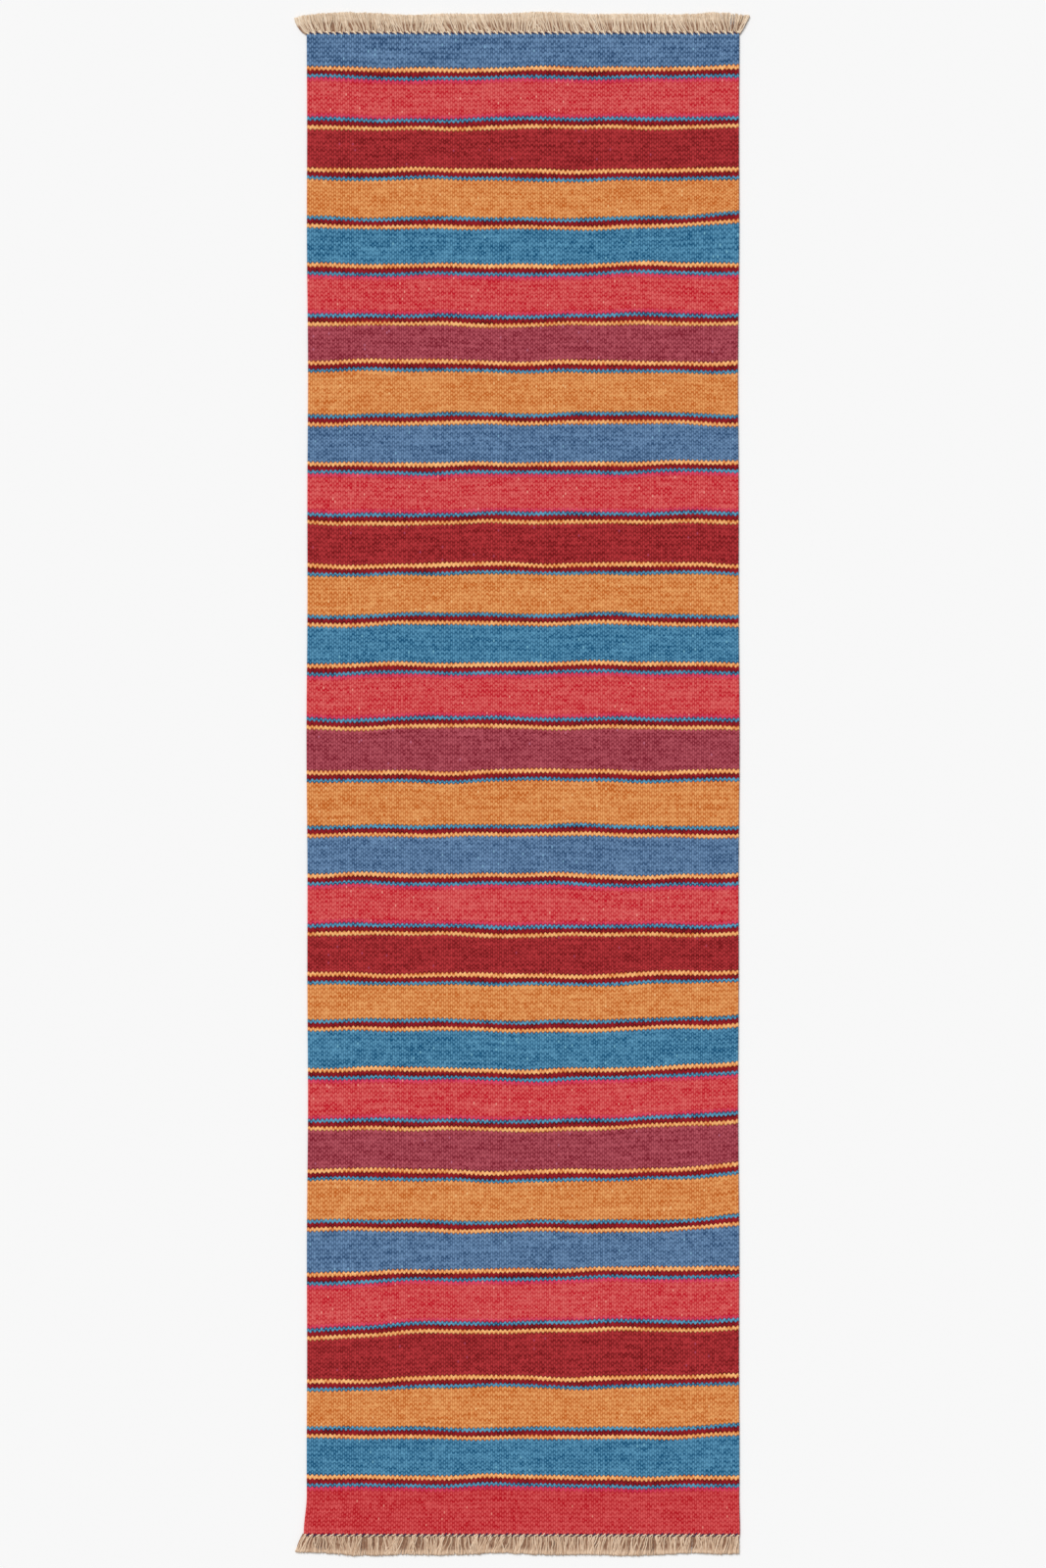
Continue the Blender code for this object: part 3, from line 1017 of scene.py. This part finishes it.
@dataclass
class FoldLine:
    """A line that the rug folds along, with the stretch of cloth that bends there."""

    joint: dict
    bend_length: float

    @property
    def y(self) -> float:
        """Where the line lies along the rug."""
        return self.joint["pos_m"][1]

    def bend(self, piece: bpy.types.Object) -> None:
        """Finds which of the joint's two bodies lies on the head side, and bakes the piece's place into
        its mesh.
        """
        bodies = [self.joint["parent"], self.joint["child"]]
        if middle_of(bodies[0]) < middle_of(bodies[1]):
            bodies.reverse()
        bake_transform(piece)


def middle_of(body: str) -> float:
    """The y of the middle of a body's nodes."""
    nodes = frame["record"]["behaviour"]["bodies"][body]
    edges = [corner.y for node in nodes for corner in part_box(node)]
    return (min(edges) + max(edges)) / 2


@dataclass
class Cloth:
    """The whole woven cloth: thirty bands and the guards between them, placed from the frame's nodes."""

    weave: Weave
    lines: WeftLines
    lie: Lie
    bands: list[str]
    guards: dict[int, str]
    folds: dict[int, FoldLine]
    trims: dict[int, list[bpy.types.Object]]
    guard_floats: int = 3
    blue_beaten_in: float = 2.0 * MM
    red_over_orange: float = 0.7 * MM  # how far the red line presses into the orange one

    def node_body(self, node: str) -> str:
        """The body that a node belongs to."""
        bodies = frame["record"]["behaviour"]["bodies"]
        return next(body for body, nodes in bodies.items() if node in nodes)

    def guard_edges(self, number: int) -> tuple[float, float]:
        """The y of a guard's head and foot edge. A fold line is the middle of a guard with no node."""
        if number in self.folds:
            any_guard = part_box(next(iter(self.guards.values())))
            half = (any_guard[1].y - any_guard[0].y + self.clearance) / 2
            return self.folds[number].y + half, self.folds[number].y - half
        low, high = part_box(self.guards[number])
        return high.y + self.clearance / 2, low.y - self.clearance / 2

    def drawn_edges(self, number: int) -> tuple[float, float]:
        """A guard's edges as they lie, with the blue line beaten in by the band beside it."""
        head, foot = self.guard_edges(number)
        if number % 2 == 1:
            return head, foot + self.blue_beaten_in
        return head - self.blue_beaten_in, foot

    @cached_property
    def clearance(self) -> float:
        """The frame's gap between two neighbouring sleeves."""
        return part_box(self.bands[0])[0].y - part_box(self.guards[1])[1].y

    def edge(self, guard: int, line: int, y: float) -> np.ndarray:
        """A weft line: its place along the rug at each column, zigzag left out."""
        return y + self.lines.stray(guard, line, self.weave.columns)

    def build_band(self, number: int, first_float: int) -> ClothPiece:
        """Builds one band and dresses it.

        Args:
            number: the band's number from the head end.
            first_float: the number of its first float.

        Returns:
            The band.
        """
        node = self.bands[number - 1]
        first, last = number == 1, number == len(self.bands)
        low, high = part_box(node)
        head_y = high.y + self.clearance / 2 if first else self.drawn_edges(number - 1)[1]
        foot_y = low.y - self.clearance / 2 if last else self.drawn_edges(number)[0]
        head = self.edge(number - 1, 3, head_y)
        foot = self.edge(number, 0, foot_y)
        floats = self.weave.floats_in(head_y - foot_y)
        name = "cloth_" + node
        band = ClothPiece(name, self.weave, self.lie, head, foot, first_float, floats, first, last)
        piece = band.build()
        dye_name = node.split("_", 2)[2]
        wool = Dyes.last_rose if last else Dyes.bands[dye_name]
        piece.data.materials.append(wool.material)
        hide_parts(node)
        self.carry(piece, [number - 1, number], self.node_body(node))
        self.declare(piece, self.trims.get(number, []))
        LOG.info("%s: %d floats long", name, floats)
        return band

    def build_guard(self, number: int, first_float: int) -> ClothPiece:
        """Builds one guard of three lines, or for a fold line the guard that bends.

        Args:
            number: the guard's number from the head end.
            first_float: the number of its first float, a multiple of three so that the dyes take turns.

        Returns:
            The guard.
        """
        head_y, foot_y = self.drawn_edges(number)
        head = self.edge(number, 0, head_y)
        foot = self.edge(number, 3, foot_y)
        name = f"cloth_guard_{number:02d}"
        full, press = self.weave.float_length, self.red_over_orange
        orange_first = number % 2 == 1
        lengths = (full - press, full + press, full - self.blue_beaten_in)
        guard = ClothPiece(name, self.weave, self.lie, head, foot, first_float, self.guard_floats)
        guard.float_lengths = lengths if orange_first else lengths[::-1]
        piece = guard.build()
        piece.data.materials.append(self.guard_material(orange_first))
        body = None
        if number in self.guards:
            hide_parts(self.guards[number])
            body = self.node_body(self.guards[number])
        self.carry(piece, [number], body)
        self.declare(piece, [])
        LOG.info("%s: three lines", name)
        return guard

    def carry(self, piece: bpy.types.Object, beside: list[int], body: str | None) -> None:
        """Hands a piece to the fold line beside it, which bakes its place into its mesh, or lets it ride
        on its own body.
        """
        for number in beside:
            if number in self.folds:
                self.folds[number].bend(piece)
                return
        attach(piece, body)

    def declare(self, piece: bpy.types.Object, trims: list[bpy.types.Object]) -> None:
        """Takes the yarns that belong to a piece as a list, and does nothing more with them."""
        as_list(trims)

    def guard_material(self, orange_first: bool) -> bpy.types.Material:
        """The material of a guard, whose three dyes run one way or the other."""
        dyes = [Dyes.guard_orange, Dyes.guard_red, Dyes.guard_blue]
        name = "guard_orange_to_blue_wool" if orange_first else "guard_blue_to_orange_wool"
        made = bpy.data.materials.get(name)
        return made or weft_material(name, dyes if orange_first else dyes[::-1])

    def build(self) -> None:
        """Builds every band and guard, from the head end to the foot end."""
        first_float = 0
        for number in range(1, len(self.bands) + 1):
            band = self.build_band(number, first_float)
            first_float += 3 * math.ceil(band.floats / 3)
            if number < len(self.bands):
                self.build_guard(number, first_float)
                first_float += self.guard_floats


# --------------------------------------------------------------------------- yarns


@dataclass(frozen=True)
class Section:
    """A yarn's section: a circle whose radius grows and shrinks twice on the way round, as plies do."""

    sides: int
    lobe: float = 0.0  # how far the two plies stand out, as a share of the radius
    twist: float = 0.0  # radians that the section turns by at each step along the path


def tubes(paths: np.ndarray, radii: np.ndarray, section: Section) -> tuple[np.ndarray, list[np.ndarray]]:
    """Yarns carried along paths, with closed ends.

    A section stands square to its path, with one axis level: a corner lies at the path's point, plus the
    radius there times the cosine of its angle along the level axis and the sine along the upright one.

    Args:
        paths: yarns by steps by three coordinates.
        radii: yarns by steps.
        section: the yarns' section.

    Returns:
        The points, and the faces as a list of arrays.
    """
    yarns, steps = paths.shape[:2]
    sides = section.sides
    along = np.gradient(paths, axis=1)
    along /= np.linalg.norm(along, axis=-1, keepdims=True)
    level = np.cross(along, [0.0, 0.0, 1.0])
    level /= np.linalg.norm(level, axis=-1, keepdims=True)
    upright = np.cross(level, along)
    angle = math.tau * np.arange(sides) / sides
    turned = angle[None, None, :] - section.twist * np.arange(steps)[None, :, None]
    reach = radii[..., None] * (1.0 + section.lobe * np.cos(2.0 * turned))
    ring = level[:, :, None] * np.cos(angle)[:, None] + upright[:, :, None] * np.sin(angle)[:, None]
    points = paths[:, :, None] + reach[..., None] * ring
    yarn = (np.arange(yarns) * steps * sides)[:, None, None]
    corner = np.arange(sides)[None, None, :]
    after = (corner + 1) % sides
    base = yarn + (np.arange(steps - 1) * sides)[None, :, None]
    quads = np.stack([base + corner, base + after, base + sides + after, base + sides + corner], axis=-1)
    first = yarn[:, 0] + np.arange(sides)[None, ::-1]
    last = yarn[:, 0] + (steps - 1) * sides + np.arange(sides)[None, :]
    return points.reshape(-1, 3), [quads.reshape(-1, 4), first, last]


def strand_map(
    depths: np.ndarray, steps: int, sides: int, step_length: float, start: float
) -> np.ndarray:
    """The strand map of tubes: u is the yarn's number plus its height in the pile, v the distance.

    Args:
        depths: each yarn's height in the pile, above 0 and below 1.
        steps: how many steps each yarn has.
        sides: how many corners the section has.
        step_length: the distance from step to step.
        start: the distance at the first step.

    Returns:
        A pair of numbers for each face corner.
    """
    own = np.arange(len(depths)) + depths
    number = np.broadcast_to(own[:, None, None, None], (len(own), steps - 1, sides, 4))
    low = start + np.arange(steps - 1)[:, None] * step_length
    v = np.concatenate([low, low, low + step_length, low + step_length], axis=-1)
    length = np.broadcast_to(v[None, :, None, :], number.shape)
    quads = np.stack([number, length], axis=-1).reshape(-1, 2)
    ends = np.repeat(own, sides)
    first = np.stack([ends, np.full_like(ends, start)], axis=-1)
    last = np.stack([ends, np.full_like(ends, start + (steps - 1) * step_length)], axis=-1)
    return np.concatenate([quads, first, last])


def yarn_bake_map(yarns: int, steps: int, sides: int, run: int) -> np.ndarray:
    """The map that a bake of tubes goes through: each run of steps is a cell of a square grid of cells.

    Inside a cell, the section's corners go across and the steps go up. A yarn's two ends lie above them.

    Args:
        yarns: how many yarns there are.
        steps: how many steps each yarn has.
        sides: how many corners the section has.
        run: how many steps share a cell.

    Returns:
        A pair of numbers for each face corner.
    """
    runs = math.ceil((steps - 1) / run)
    grid = math.ceil(math.sqrt(yarns * runs))
    step = np.arange(steps - 1)
    cell = np.arange(yarns)[:, None] * runs + step[None, :] // run
    corner = np.array([[side, side + 1, side + 1, side] for side in range(sides)]) / sides
    row = (step % run)[:, None] + np.array([0, 0, 1, 1])[None, :]
    margin, wide, low_margin, tall = 0.04, 0.92, 0.03, 0.81
    across = margin + wide * np.broadcast_to(corner[None, None], (yarns, steps - 1, sides, 4))
    up = np.broadcast_to(low_margin + tall * row[None, :, None] / run, across.shape)
    left, low = (cell % grid)[..., None, None], (cell // grid)[..., None, None]
    quads = np.stack([left + across, low + up], axis=-1).reshape(-1, 2)
    turn = math.tau * np.arange(sides) / sides
    end_size, end_height = [0.2, 0.05], 0.92
    ring = np.stack([np.cos(turn), np.sin(turn)], axis=-1) * end_size
    ends = []
    for cells, middle, order in ((cell[:, 0], 0.25, -1), (cell[:, -1], 0.75, 1)):
        centre = np.stack([cells % grid + middle, cells // grid + end_height], axis=-1)
        ends.append((centre[:, None] + ring[None, ::order]).reshape(-1, 2))
    return np.concatenate([quads, *ends]) / grid


@dataclass
class YarnPiece:
    """Yarns along paths, made and dressed as one piece."""

    name: str
    yarn: PliedYarn
    body: str
    section: Section
    paths: np.ndarray
    radii: np.ndarray
    depths: np.ndarray  # each yarn's height in the pile, above 0 and below 1
    step_length: float  # along the strand map
    start: float = 0.0
    run: int = 0  # steps in a cell of the bake map, or 0 for a whole yarn
    node: str | None = None

    def build(self) -> bpy.types.Object:
        """Makes the yarns, with their two maps and their finish.

        Returns:
            The piece.
        """
        yarns, steps = self.radii.shape
        sides = self.section.sides
        piece = new_mesh(self.name, *tubes(self.paths, self.radii, self.section))
        add_map(piece, "Strand", strand_map(self.depths, steps, sides, self.step_length, self.start))
        add_map(piece, "OFBake", yarn_bake_map(yarns, steps, sides, self.run or steps - 1))
        piece.data.materials.append(self.yarn.material)
        if self.node:
            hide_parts(self.node)
        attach(piece, self.body)
        LOG.info("%s: %d yarns in %d faces", self.name, yarns, len(piece.data.polygons))
        return piece


@dataclass(frozen=True)
class Flare:
    """How the strands at one corner of a fringe fan out."""

    lean: float  # radians that the outermost strand leans out by
    reach: float  # how far from the selvedge the lean fades
    curl: float = 0.2  # how much more it leans at the root than halfway, and how much less at the tip

    def at(self, distance: np.ndarray) -> np.ndarray:
        """The lean at a distance from the selvedge, as a bell."""
        return self.lean * np.exp(-((distance / self.reach) ** 2))


@dataclass(frozen=True)
class Stitch:
    """How big the stitches of one twined yarn are."""

    radius: float
    reach: float  # how far one goes along the rug, to each side of its middle


@dataclass
class Fringe:
    """The free warps at one end of the rug, opened into their plies, and the twined row round them."""

    end: End
    weave: Weave
    lie: Lie
    cloth_end: float
    left: Flare
    right: Flare
    lean: float
    bunching: float  # how strongly the strands of a bunch lean and wave together
    gather: float  # how far the upper strands of a bunch stay drawn together, from 0 to 1
    yarn: PliedYarn
    cream: Stitch
    navy: Stitch
    bunches: int = 64
    plies: int = 4
    length: float = 40.5 * MM
    radii: tuple[float, ...] = (1.4 * MM, 1.15 * MM, 1.4 * MM, 1.1 * MM)
    pile_heights: tuple[float, ...] = (1.5 * MM, 2.7 * MM, 1.6 * MM, 3.5 * MM)
    freedoms: tuple[float, ...] = (0.0, 0.75, 0.05, 1.0)
    lean_spread: float = 0.16
    length_play: float = 0.015
    radius_play: float = 0.12
    fan_shortening: float = 0.27
    longest: float = 1.12  # a slanting strand is drawn out to the cut line, up to this times its run
    tucked_in: float = 1.0 * MM
    steps: int = 15
    section: Section = Section(6, 0.16, 1.1)
    stitch_section: Section = Section(7, 0.08, 0.5)
    stitch_steps: int = 14
    row_inset: float = 1.2 * MM
    row_middle: float = 0.9 * MM  # from the cloth's end
    seed: int = 5

    @property
    def outwards(self) -> int:
        """+1 where the fringe points along +Y, -1 where it points along -Y."""
        return self.end.value

    @property
    def label(self) -> str:
        """The end's name, for naming pieces."""
        return self.end.name.lower()

    @property
    def count(self) -> int:
        """How many strands the fringe has."""
        return self.weave.ribs * self.plies

    def of_ply(self, values: tuple[float, ...]) -> np.ndarray:
        """Each strand's own value out of one for each ply, as a column."""
        return np.array(values)[np.arange(self.count) % self.plies][:, None]

    def strand_paths(self) -> tuple[np.ndarray, np.ndarray]:
        """The paths and radii of the strands.

        Each ply leaves the cloth beside its warp, is drawn towards its bunch's knot, and runs on at its
        own lean. The lowest ply lies in order and covers the floor, and the upper ones wander more. The
        outermost strands fan out. Sines across the run make a strand wavy. It rises to its place in the
        pile and sinks to its tip.

        Returns:
            Paths as strands by steps by three, and radii as strands by steps.
        """
        weave, count, spread = self.weave, self.count, self.lean_spread
        rng = np.random.default_rng(self.seed + self.outwards)
        width = weave.right - weave.left
        free = self.of_ply(self.freedoms)
        roots = (weave.left + (np.arange(count) + 0.5) * width / count)[:, None]
        bunch = np.floor((roots - weave.left) / width * self.bunches).astype(int)
        knots = weave.left + (bunch + 0.5) * width / self.bunches
        left, right = self.left.at(roots - weave.left), self.right.at(weave.right - roots)
        fanned = np.clip(left + right, 0.0, 1.0)

        sway = waves(roots, (0.13, 31.0, self.outwards), (0.12, 74.0, 2.0))
        bunch_lean = self.bunching * rng.normal(0.0, spread, self.bunches)[bunch]
        own_lean = free * (bunch_lean + rng.normal(0.0, spread, (count, 1)))
        lean = (self.lean + sway + own_lean) * (1.0 - fanned)
        along = np.linspace(0.0, 1.0, self.steps)[None, :]
        uneven = waves(roots, (0.045, 16.0, self.outwards), (0.03, 37.0, 0.0))
        cut = self.length * (1.0 + uneven) * (1.0 + rng.normal(0.0, self.length_play, (count, 1)))
        reach = cut * (1.0 - self.fan_shortening * (left + right))
        step = reach / (self.steps - 1)
        halfway = 1.0 - 2.0 * along
        angle = lean * (1.0 + 0.2 * halfway) - left * (1.0 + self.left.curl * halfway)
        angle = angle + right * (1.0 + self.right.curl * halfway)

        knotted = 0.5 * self.bunching * np.exp(-(((along - 0.10) / 0.12) ** 2))
        held = self.gather * smooth_step(along, 0.0, 0.2) * (1.0 - 0.5 * smooth_step(along, 0.6, 1.0))
        x = roots + np.cumsum(np.sin(angle), axis=1) * step
        x = x + free * (knots - roots) * np.maximum(knotted, held)
        x = x + free * self._waviness(rng, along, count) * (1.0 - 0.5 * self.bunching)
        together = self._waviness(rng, along, self.bunches)[bunch[:, 0]]
        x = x + self.bunching * together * (0.35 + 0.65 * free)
        run = np.cumsum(np.cos(angle), axis=1) * step
        run = (run - run[:, :1]) * np.minimum(reach / run[:, -1:], self.longest)
        y = self.cloth_end + self.outwards * (run - self.tucked_in)

        middle = weave.thickness / 2
        pile = self.of_ply(self.pile_heights) + free * rng.uniform(-0.3, 0.5, (count, 1)) * MM
        rise = smooth_step(along, 0.0, 0.2) * (1.0 - 0.35 * along**3)
        ripple = free * 0.3 * MM * np.sin(along * 11.0 + roots * 900.0)
        play = 1.0 + rng.uniform(-self.radius_play, self.radius_play, (count, 1))
        widening = (1.0 + (0.9 - 0.6 * free) * along * fanned) * (0.95 + 0.15 * along**2)
        radii = self.of_ply(self.radii) * widening * play
        z = np.maximum(middle + (pile - middle) * rise + ripple, radii * (1.02 + self.section.lobe))
        return np.stack([x, y, z], axis=-1), radii

    @staticmethod
    def _waviness(rng: np.random.Generator, along: np.ndarray, count: int) -> np.ndarray:
        """Two sines with phases of their own for each of `count` runs, from nothing at the root."""
        total = np.zeros((count, along.shape[1]))
        for high, turns in ((1.3 * MM, 6.0), (0.5 * MM, 13.0)):
            size = rng.uniform(0.4, 1.0, (count, 1)) * high
            total += size * np.sin(turns * along + rng.uniform(0, math.tau, (count, 1)))
        return total * smooth_step(along, 0.05, 0.35)

    def build_strands(self) -> bpy.types.Object:
        """Builds the fringe's strands as one piece."""
        paths, radii = self.strand_paths()
        depths = self.of_ply(self.freedoms)[:, 0] * 0.9 + 0.05
        return YarnPiece(
            self.label + "_fringe_strands",
            self.yarn,
            self.label + "_quarter",
            self.section,
            self.lie.settle(paths),
            radii,
            depths,
            self.length / (self.steps - 1),
            node=self.label + "_warps_and_fringe",
        ).build()

    def build_twining(
        self, name: str, yarn: PliedYarn, phase: float, stitch: Stitch
    ) -> bpy.types.Object:
        """Builds one of the two yarns that are twined across the warps.

        Its path runs across the rug as a flattened helix, one turn for each bunch, so that it shows as a
        short slanting stitch over every bunch and dips under between them. Stitches differ in place and
        length.

        Args:
            name: the piece's name.
            yarn: its finish.
            phase: the turn it starts at. The other yarn starts half a turn later.
            stitch: how big its stitches are.

        Returns:
            The yarn.
        """
        rng = np.random.default_rng(self.seed + 7)
        steps = self.bunches * self.stitch_steps
        turn = np.linspace(0.0, math.tau * self.bunches, steps) + phase
        number = np.minimum((turn / math.tau).astype(int), self.bunches)
        reach = stitch.reach * rng.uniform(0.55, 1.35, self.bunches + 1)[number]
        shift = rng.normal(0.0, 0.5 * MM, self.bunches + 1)[number]
        inset = self.row_inset
        x = np.linspace(self.weave.left + inset, self.weave.right - inset, steps)
        outwards = self.row_middle - reach * np.sin(turn) + shift * np.sin(turn) ** 2
        z = 2.6 * MM + 1.3 * MM * np.cos(turn)
        path = np.stack([x, self.cloth_end + self.outwards * outwards, z], axis=-1)
        return YarnPiece(
            f"{self.label}_{name}",
            yarn,
            self.label + "_quarter",
            self.stitch_section,
            self.lie.settle(path)[None],
            np.full((1, steps), stitch.radius),
            np.full(1, 0.95),
            10.0 * MM / steps,
            start=10.0 * MM,
            run=self.stitch_steps,
        ).build()

    def build(self) -> list[bpy.types.Object]:
        """Builds the strands and the twined end row."""
        return [
            self.build_strands(),
            self.build_twining("end_row_cream_yarn", Dyes.end_cream, 0.0, self.cream),
            self.build_twining("end_row_navy_yarn", Dyes.end_navy, math.pi, self.navy),
        ]


@dataclass
class WarpYarns:
    """The warps inside one quarter of the cloth, which only show where they leave it as the fringe."""

    quarter: str
    weave: Weave
    lie: Lie
    head: float
    foot: float
    node: str | None
    radius: float = 0.55 * MM
    steps: int = 12

    def build(self) -> bpy.types.Object:
        """Builds one straight yarn inside each rib, from the quarter's head edge to its foot edge."""
        weave = self.weave
        x = weave.left + (np.arange(weave.ribs) + 0.5) * weave.pitch
        y = np.linspace(self.foot, self.head, self.steps)
        grid = np.stack(np.broadcast_arrays(x[:, None], y[None, :], weave.thickness / 2), axis=-1)
        return YarnPiece(
            self.quarter + "_warp_yarns",
            Dyes.warp,
            self.quarter,
            Section(5),
            self.lie.settle(grid),
            np.full(grid.shape[:2], self.radius),
            np.full(weave.ribs, 0.5),
            (self.head - self.foot) / (self.steps - 1),
            node=self.node,
        ).build()


# --------------------------------------------------------------------------- studio


@dataclass
class Studio:
    """The camera straight above the rug, a pale floor and soft light."""

    view_height: float = 2.909
    lens: float = 90.0
    sensor: float = 36.0
    floor_size: float = 200.0
    floor_drop: float = 0.3 * MM
    floor_shade: float = 0.93
    key_strength: float = 2.3
    key_softness: float = 32.0  # degrees across
    key_tilt: tuple[float, float] = (-32.0, -26.0)  # degrees about X and Y
    sky_strength: float = 0.45

    def place(self, name: str, data: bpy.types.ID) -> bpy.types.Object:
        """Puts a camera or a light into the scene."""
        made = bpy.data.objects.new(name, data)
        bpy.context.scene.collection.objects.link(made)
        return made

    def build_camera(self) -> None:
        """Puts a long-lens camera above the middle of the rug, with the head end at the top."""
        data = bpy.data.cameras.new("camera")
        data.lens = self.lens
        data.sensor_width = self.sensor
        camera = self.place("camera", data)
        camera.location = (0.0, 0.0, self.view_height * self.lens / self.sensor)
        bpy.context.scene.camera = camera

    def build_floor(self) -> None:
        """Lays a plain pale floor under the rug."""
        half = self.floor_size / 2
        corners = np.array([[-half, -half], [half, -half], [half, half], [-half, half]])
        points = np.column_stack([corners, np.full(4, -self.floor_drop)])
        floor = new_mesh("floor", points, [np.array([[0, 1, 2, 3]])])
        values = {"Base Color": (self.floor_shade,) * 3, "Roughness": 0.9, "Specular IOR Level": 0.1}
        floor.data.materials.append(plain_material("pale_floor", values)[0])
        floor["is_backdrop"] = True

    def build_light(self) -> None:
        """Adds one wide soft sun from the head end's left and an even sky."""
        data = bpy.data.lights.new("soft_key", "SUN")
        data.energy = self.key_strength
        data.angle = math.radians(self.key_softness)
        key = self.place("soft_key", data)
        key.rotation_euler = (*map(math.radians, self.key_tilt), 0.0)
        world = bpy.data.worlds.new("studio_sky")
        world.use_nodes = True
        sky = world.node_tree.nodes["Background"]
        Wiring(world.node_tree).feed(sky, {"Color": (1.0, 1.0, 1.0), "Strength": self.sky_strength})
        bpy.context.scene.world = world
        bpy.context.scene.view_settings.view_transform = "Standard"

    def build(self) -> None:
        """Builds the camera, the floor and the light."""
        self.build_camera()
        self.build_floor()
        self.build_light()


# --------------------------------------------------------------------------- the rug


@dataclass
class RunnerRug:
    """The whole rug, put together from the frame's nodes, bodies and joints."""

    quarter_bend: float = 12.0 * MM
    half_bend: float = 24.0 * MM
    warp_inset: float = 1.0 * MM  # how far inside the cloth's ends the hidden warps stop

    def build(self) -> None:
        """Builds the warps, the fringes and the cloth round them, in that order."""
        bands = sorted(node for node in frame["nodes"] if node.startswith("band_"))
        named = (node for node in sorted(frame["nodes"]) if node.startswith("guard_"))
        guards = {int(node.split("_")[1]): node for node in named}
        low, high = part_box(bands[0])
        weave = Weave(low.x, high.x, high.z - low.z)
        head_end, foot_end = high.y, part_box(bands[-1])[0].y
        lines = WeftLines(len(bands) - 1, high.x)
        lie = Lie(foot_end, high.x)
        folds = self.find_folds(len(bands), guards)
        warps = self.build_warps(weave, lie, head_end, foot_end)
        head = Fringe(
            End.HEAD,
            weave,
            lie,
            head_end,
            left=Flare(0.59, 26.0 * MM, 0.75),
            right=Flare(0.58, 15.0 * MM),
            lean=-0.22,
            bunching=0.5,
            gather=0.2,
            yarn=Dyes.head_fringe,
            cream=Stitch(1.25 * MM, 2.7 * MM),
            navy=Stitch(1.1 * MM, 1.8 * MM),
        )
        foot = Fringe(
            End.FOOT,
            weave,
            lie,
            foot_end,
            left=Flare(0.21, 30.0 * MM),
            right=Flare(0.12, 10.0 * MM),
            lean=-0.08,
            bunching=1.0,
            gather=0.24,
            yarn=Dyes.foot_fringe,
            cream=Stitch(0.9 * MM, 1.7 * MM),
            navy=Stitch(1.25 * MM, 2.4 * MM),
        )
        firsts = [1] + [number + 1 for number in sorted(folds)]
        trims = {number: [yarns] for number, yarns in zip(firsts, warps)}
        trims[1] += head.build()
        trims[len(bands)] = foot.build()
        Cloth(weave, lines, lie, bands, guards, folds, trims).build()

    def find_folds(self, bands: int, guards: dict[int, str]) -> dict[int, FoldLine]:
        """Matches the guards that have no node with the joints, from the head end.

        Args:
            bands: how many bands the cloth has.
            guards: guard number to node.

        Returns:
            Guard number to fold line.
        """
        joints = sorted(frame["joints"], key=lambda joint: -joint["pos_m"][1])
        missing = [number for number in range(1, bands) if number not in guards]
        tallest = max(joint["pos_m"][2] for joint in joints)
        folds = {}
        for number, joint in zip(missing, joints):
            bend = self.half_bend if joint["pos_m"][2] == tallest else self.quarter_bend
            folds[number] = FoldLine(joint, bend)
        return folds

    def build_warps(
        self, weave: Weave, lie: Lie, head_end: float, foot_end: float
    ) -> list[bpy.types.Object]:
        """Builds the hidden warps of each quarter, which stop short of the stretches that bend.

        Args:
            weave: the cloth's rules.
            lie: how the rug lies.
            head_end: the y of the cloth's head end.
            foot_end: the y of its foot end.

        Returns:
            Each quarter's warps, from the head end.
        """
        short = self.half_bend / 2
        joints = sorted((joint["pos_m"][1] for joint in frame["joints"]), reverse=True)
        heads = [head_end - self.warp_inset, *(y - short for y in joints)]
        feet = [*(y + short for y in joints), foot_end + self.warp_inset]
        quarters = ("head_quarter", "second_quarter", "third_quarter", "foot_quarter")
        nodes = (None, "second_quarter_warps", "third_quarter_warps", None)
        stretches = zip(quarters, heads, feet, nodes)
        return [WarpYarns(name, weave, lie, *rest).build() for name, *rest in stretches]


def write_sizes() -> None:
    """Works out the frame's box and the finished rug's box as plain lists."""
    boxes = {"cad": CAD_BOX, "visual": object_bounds()}
    plain = {name: [list(corner) for corner in box] for name, box in boxes.items()}


def main() -> None:
    """Builds the studio and the rug."""
    logging.basicConfig(level=logging.INFO, format="%(name)s: %(message)s")
    Studio().build()
    RunnerRug().build()
    write_sizes()


if __name__ == "__main__":
    main()
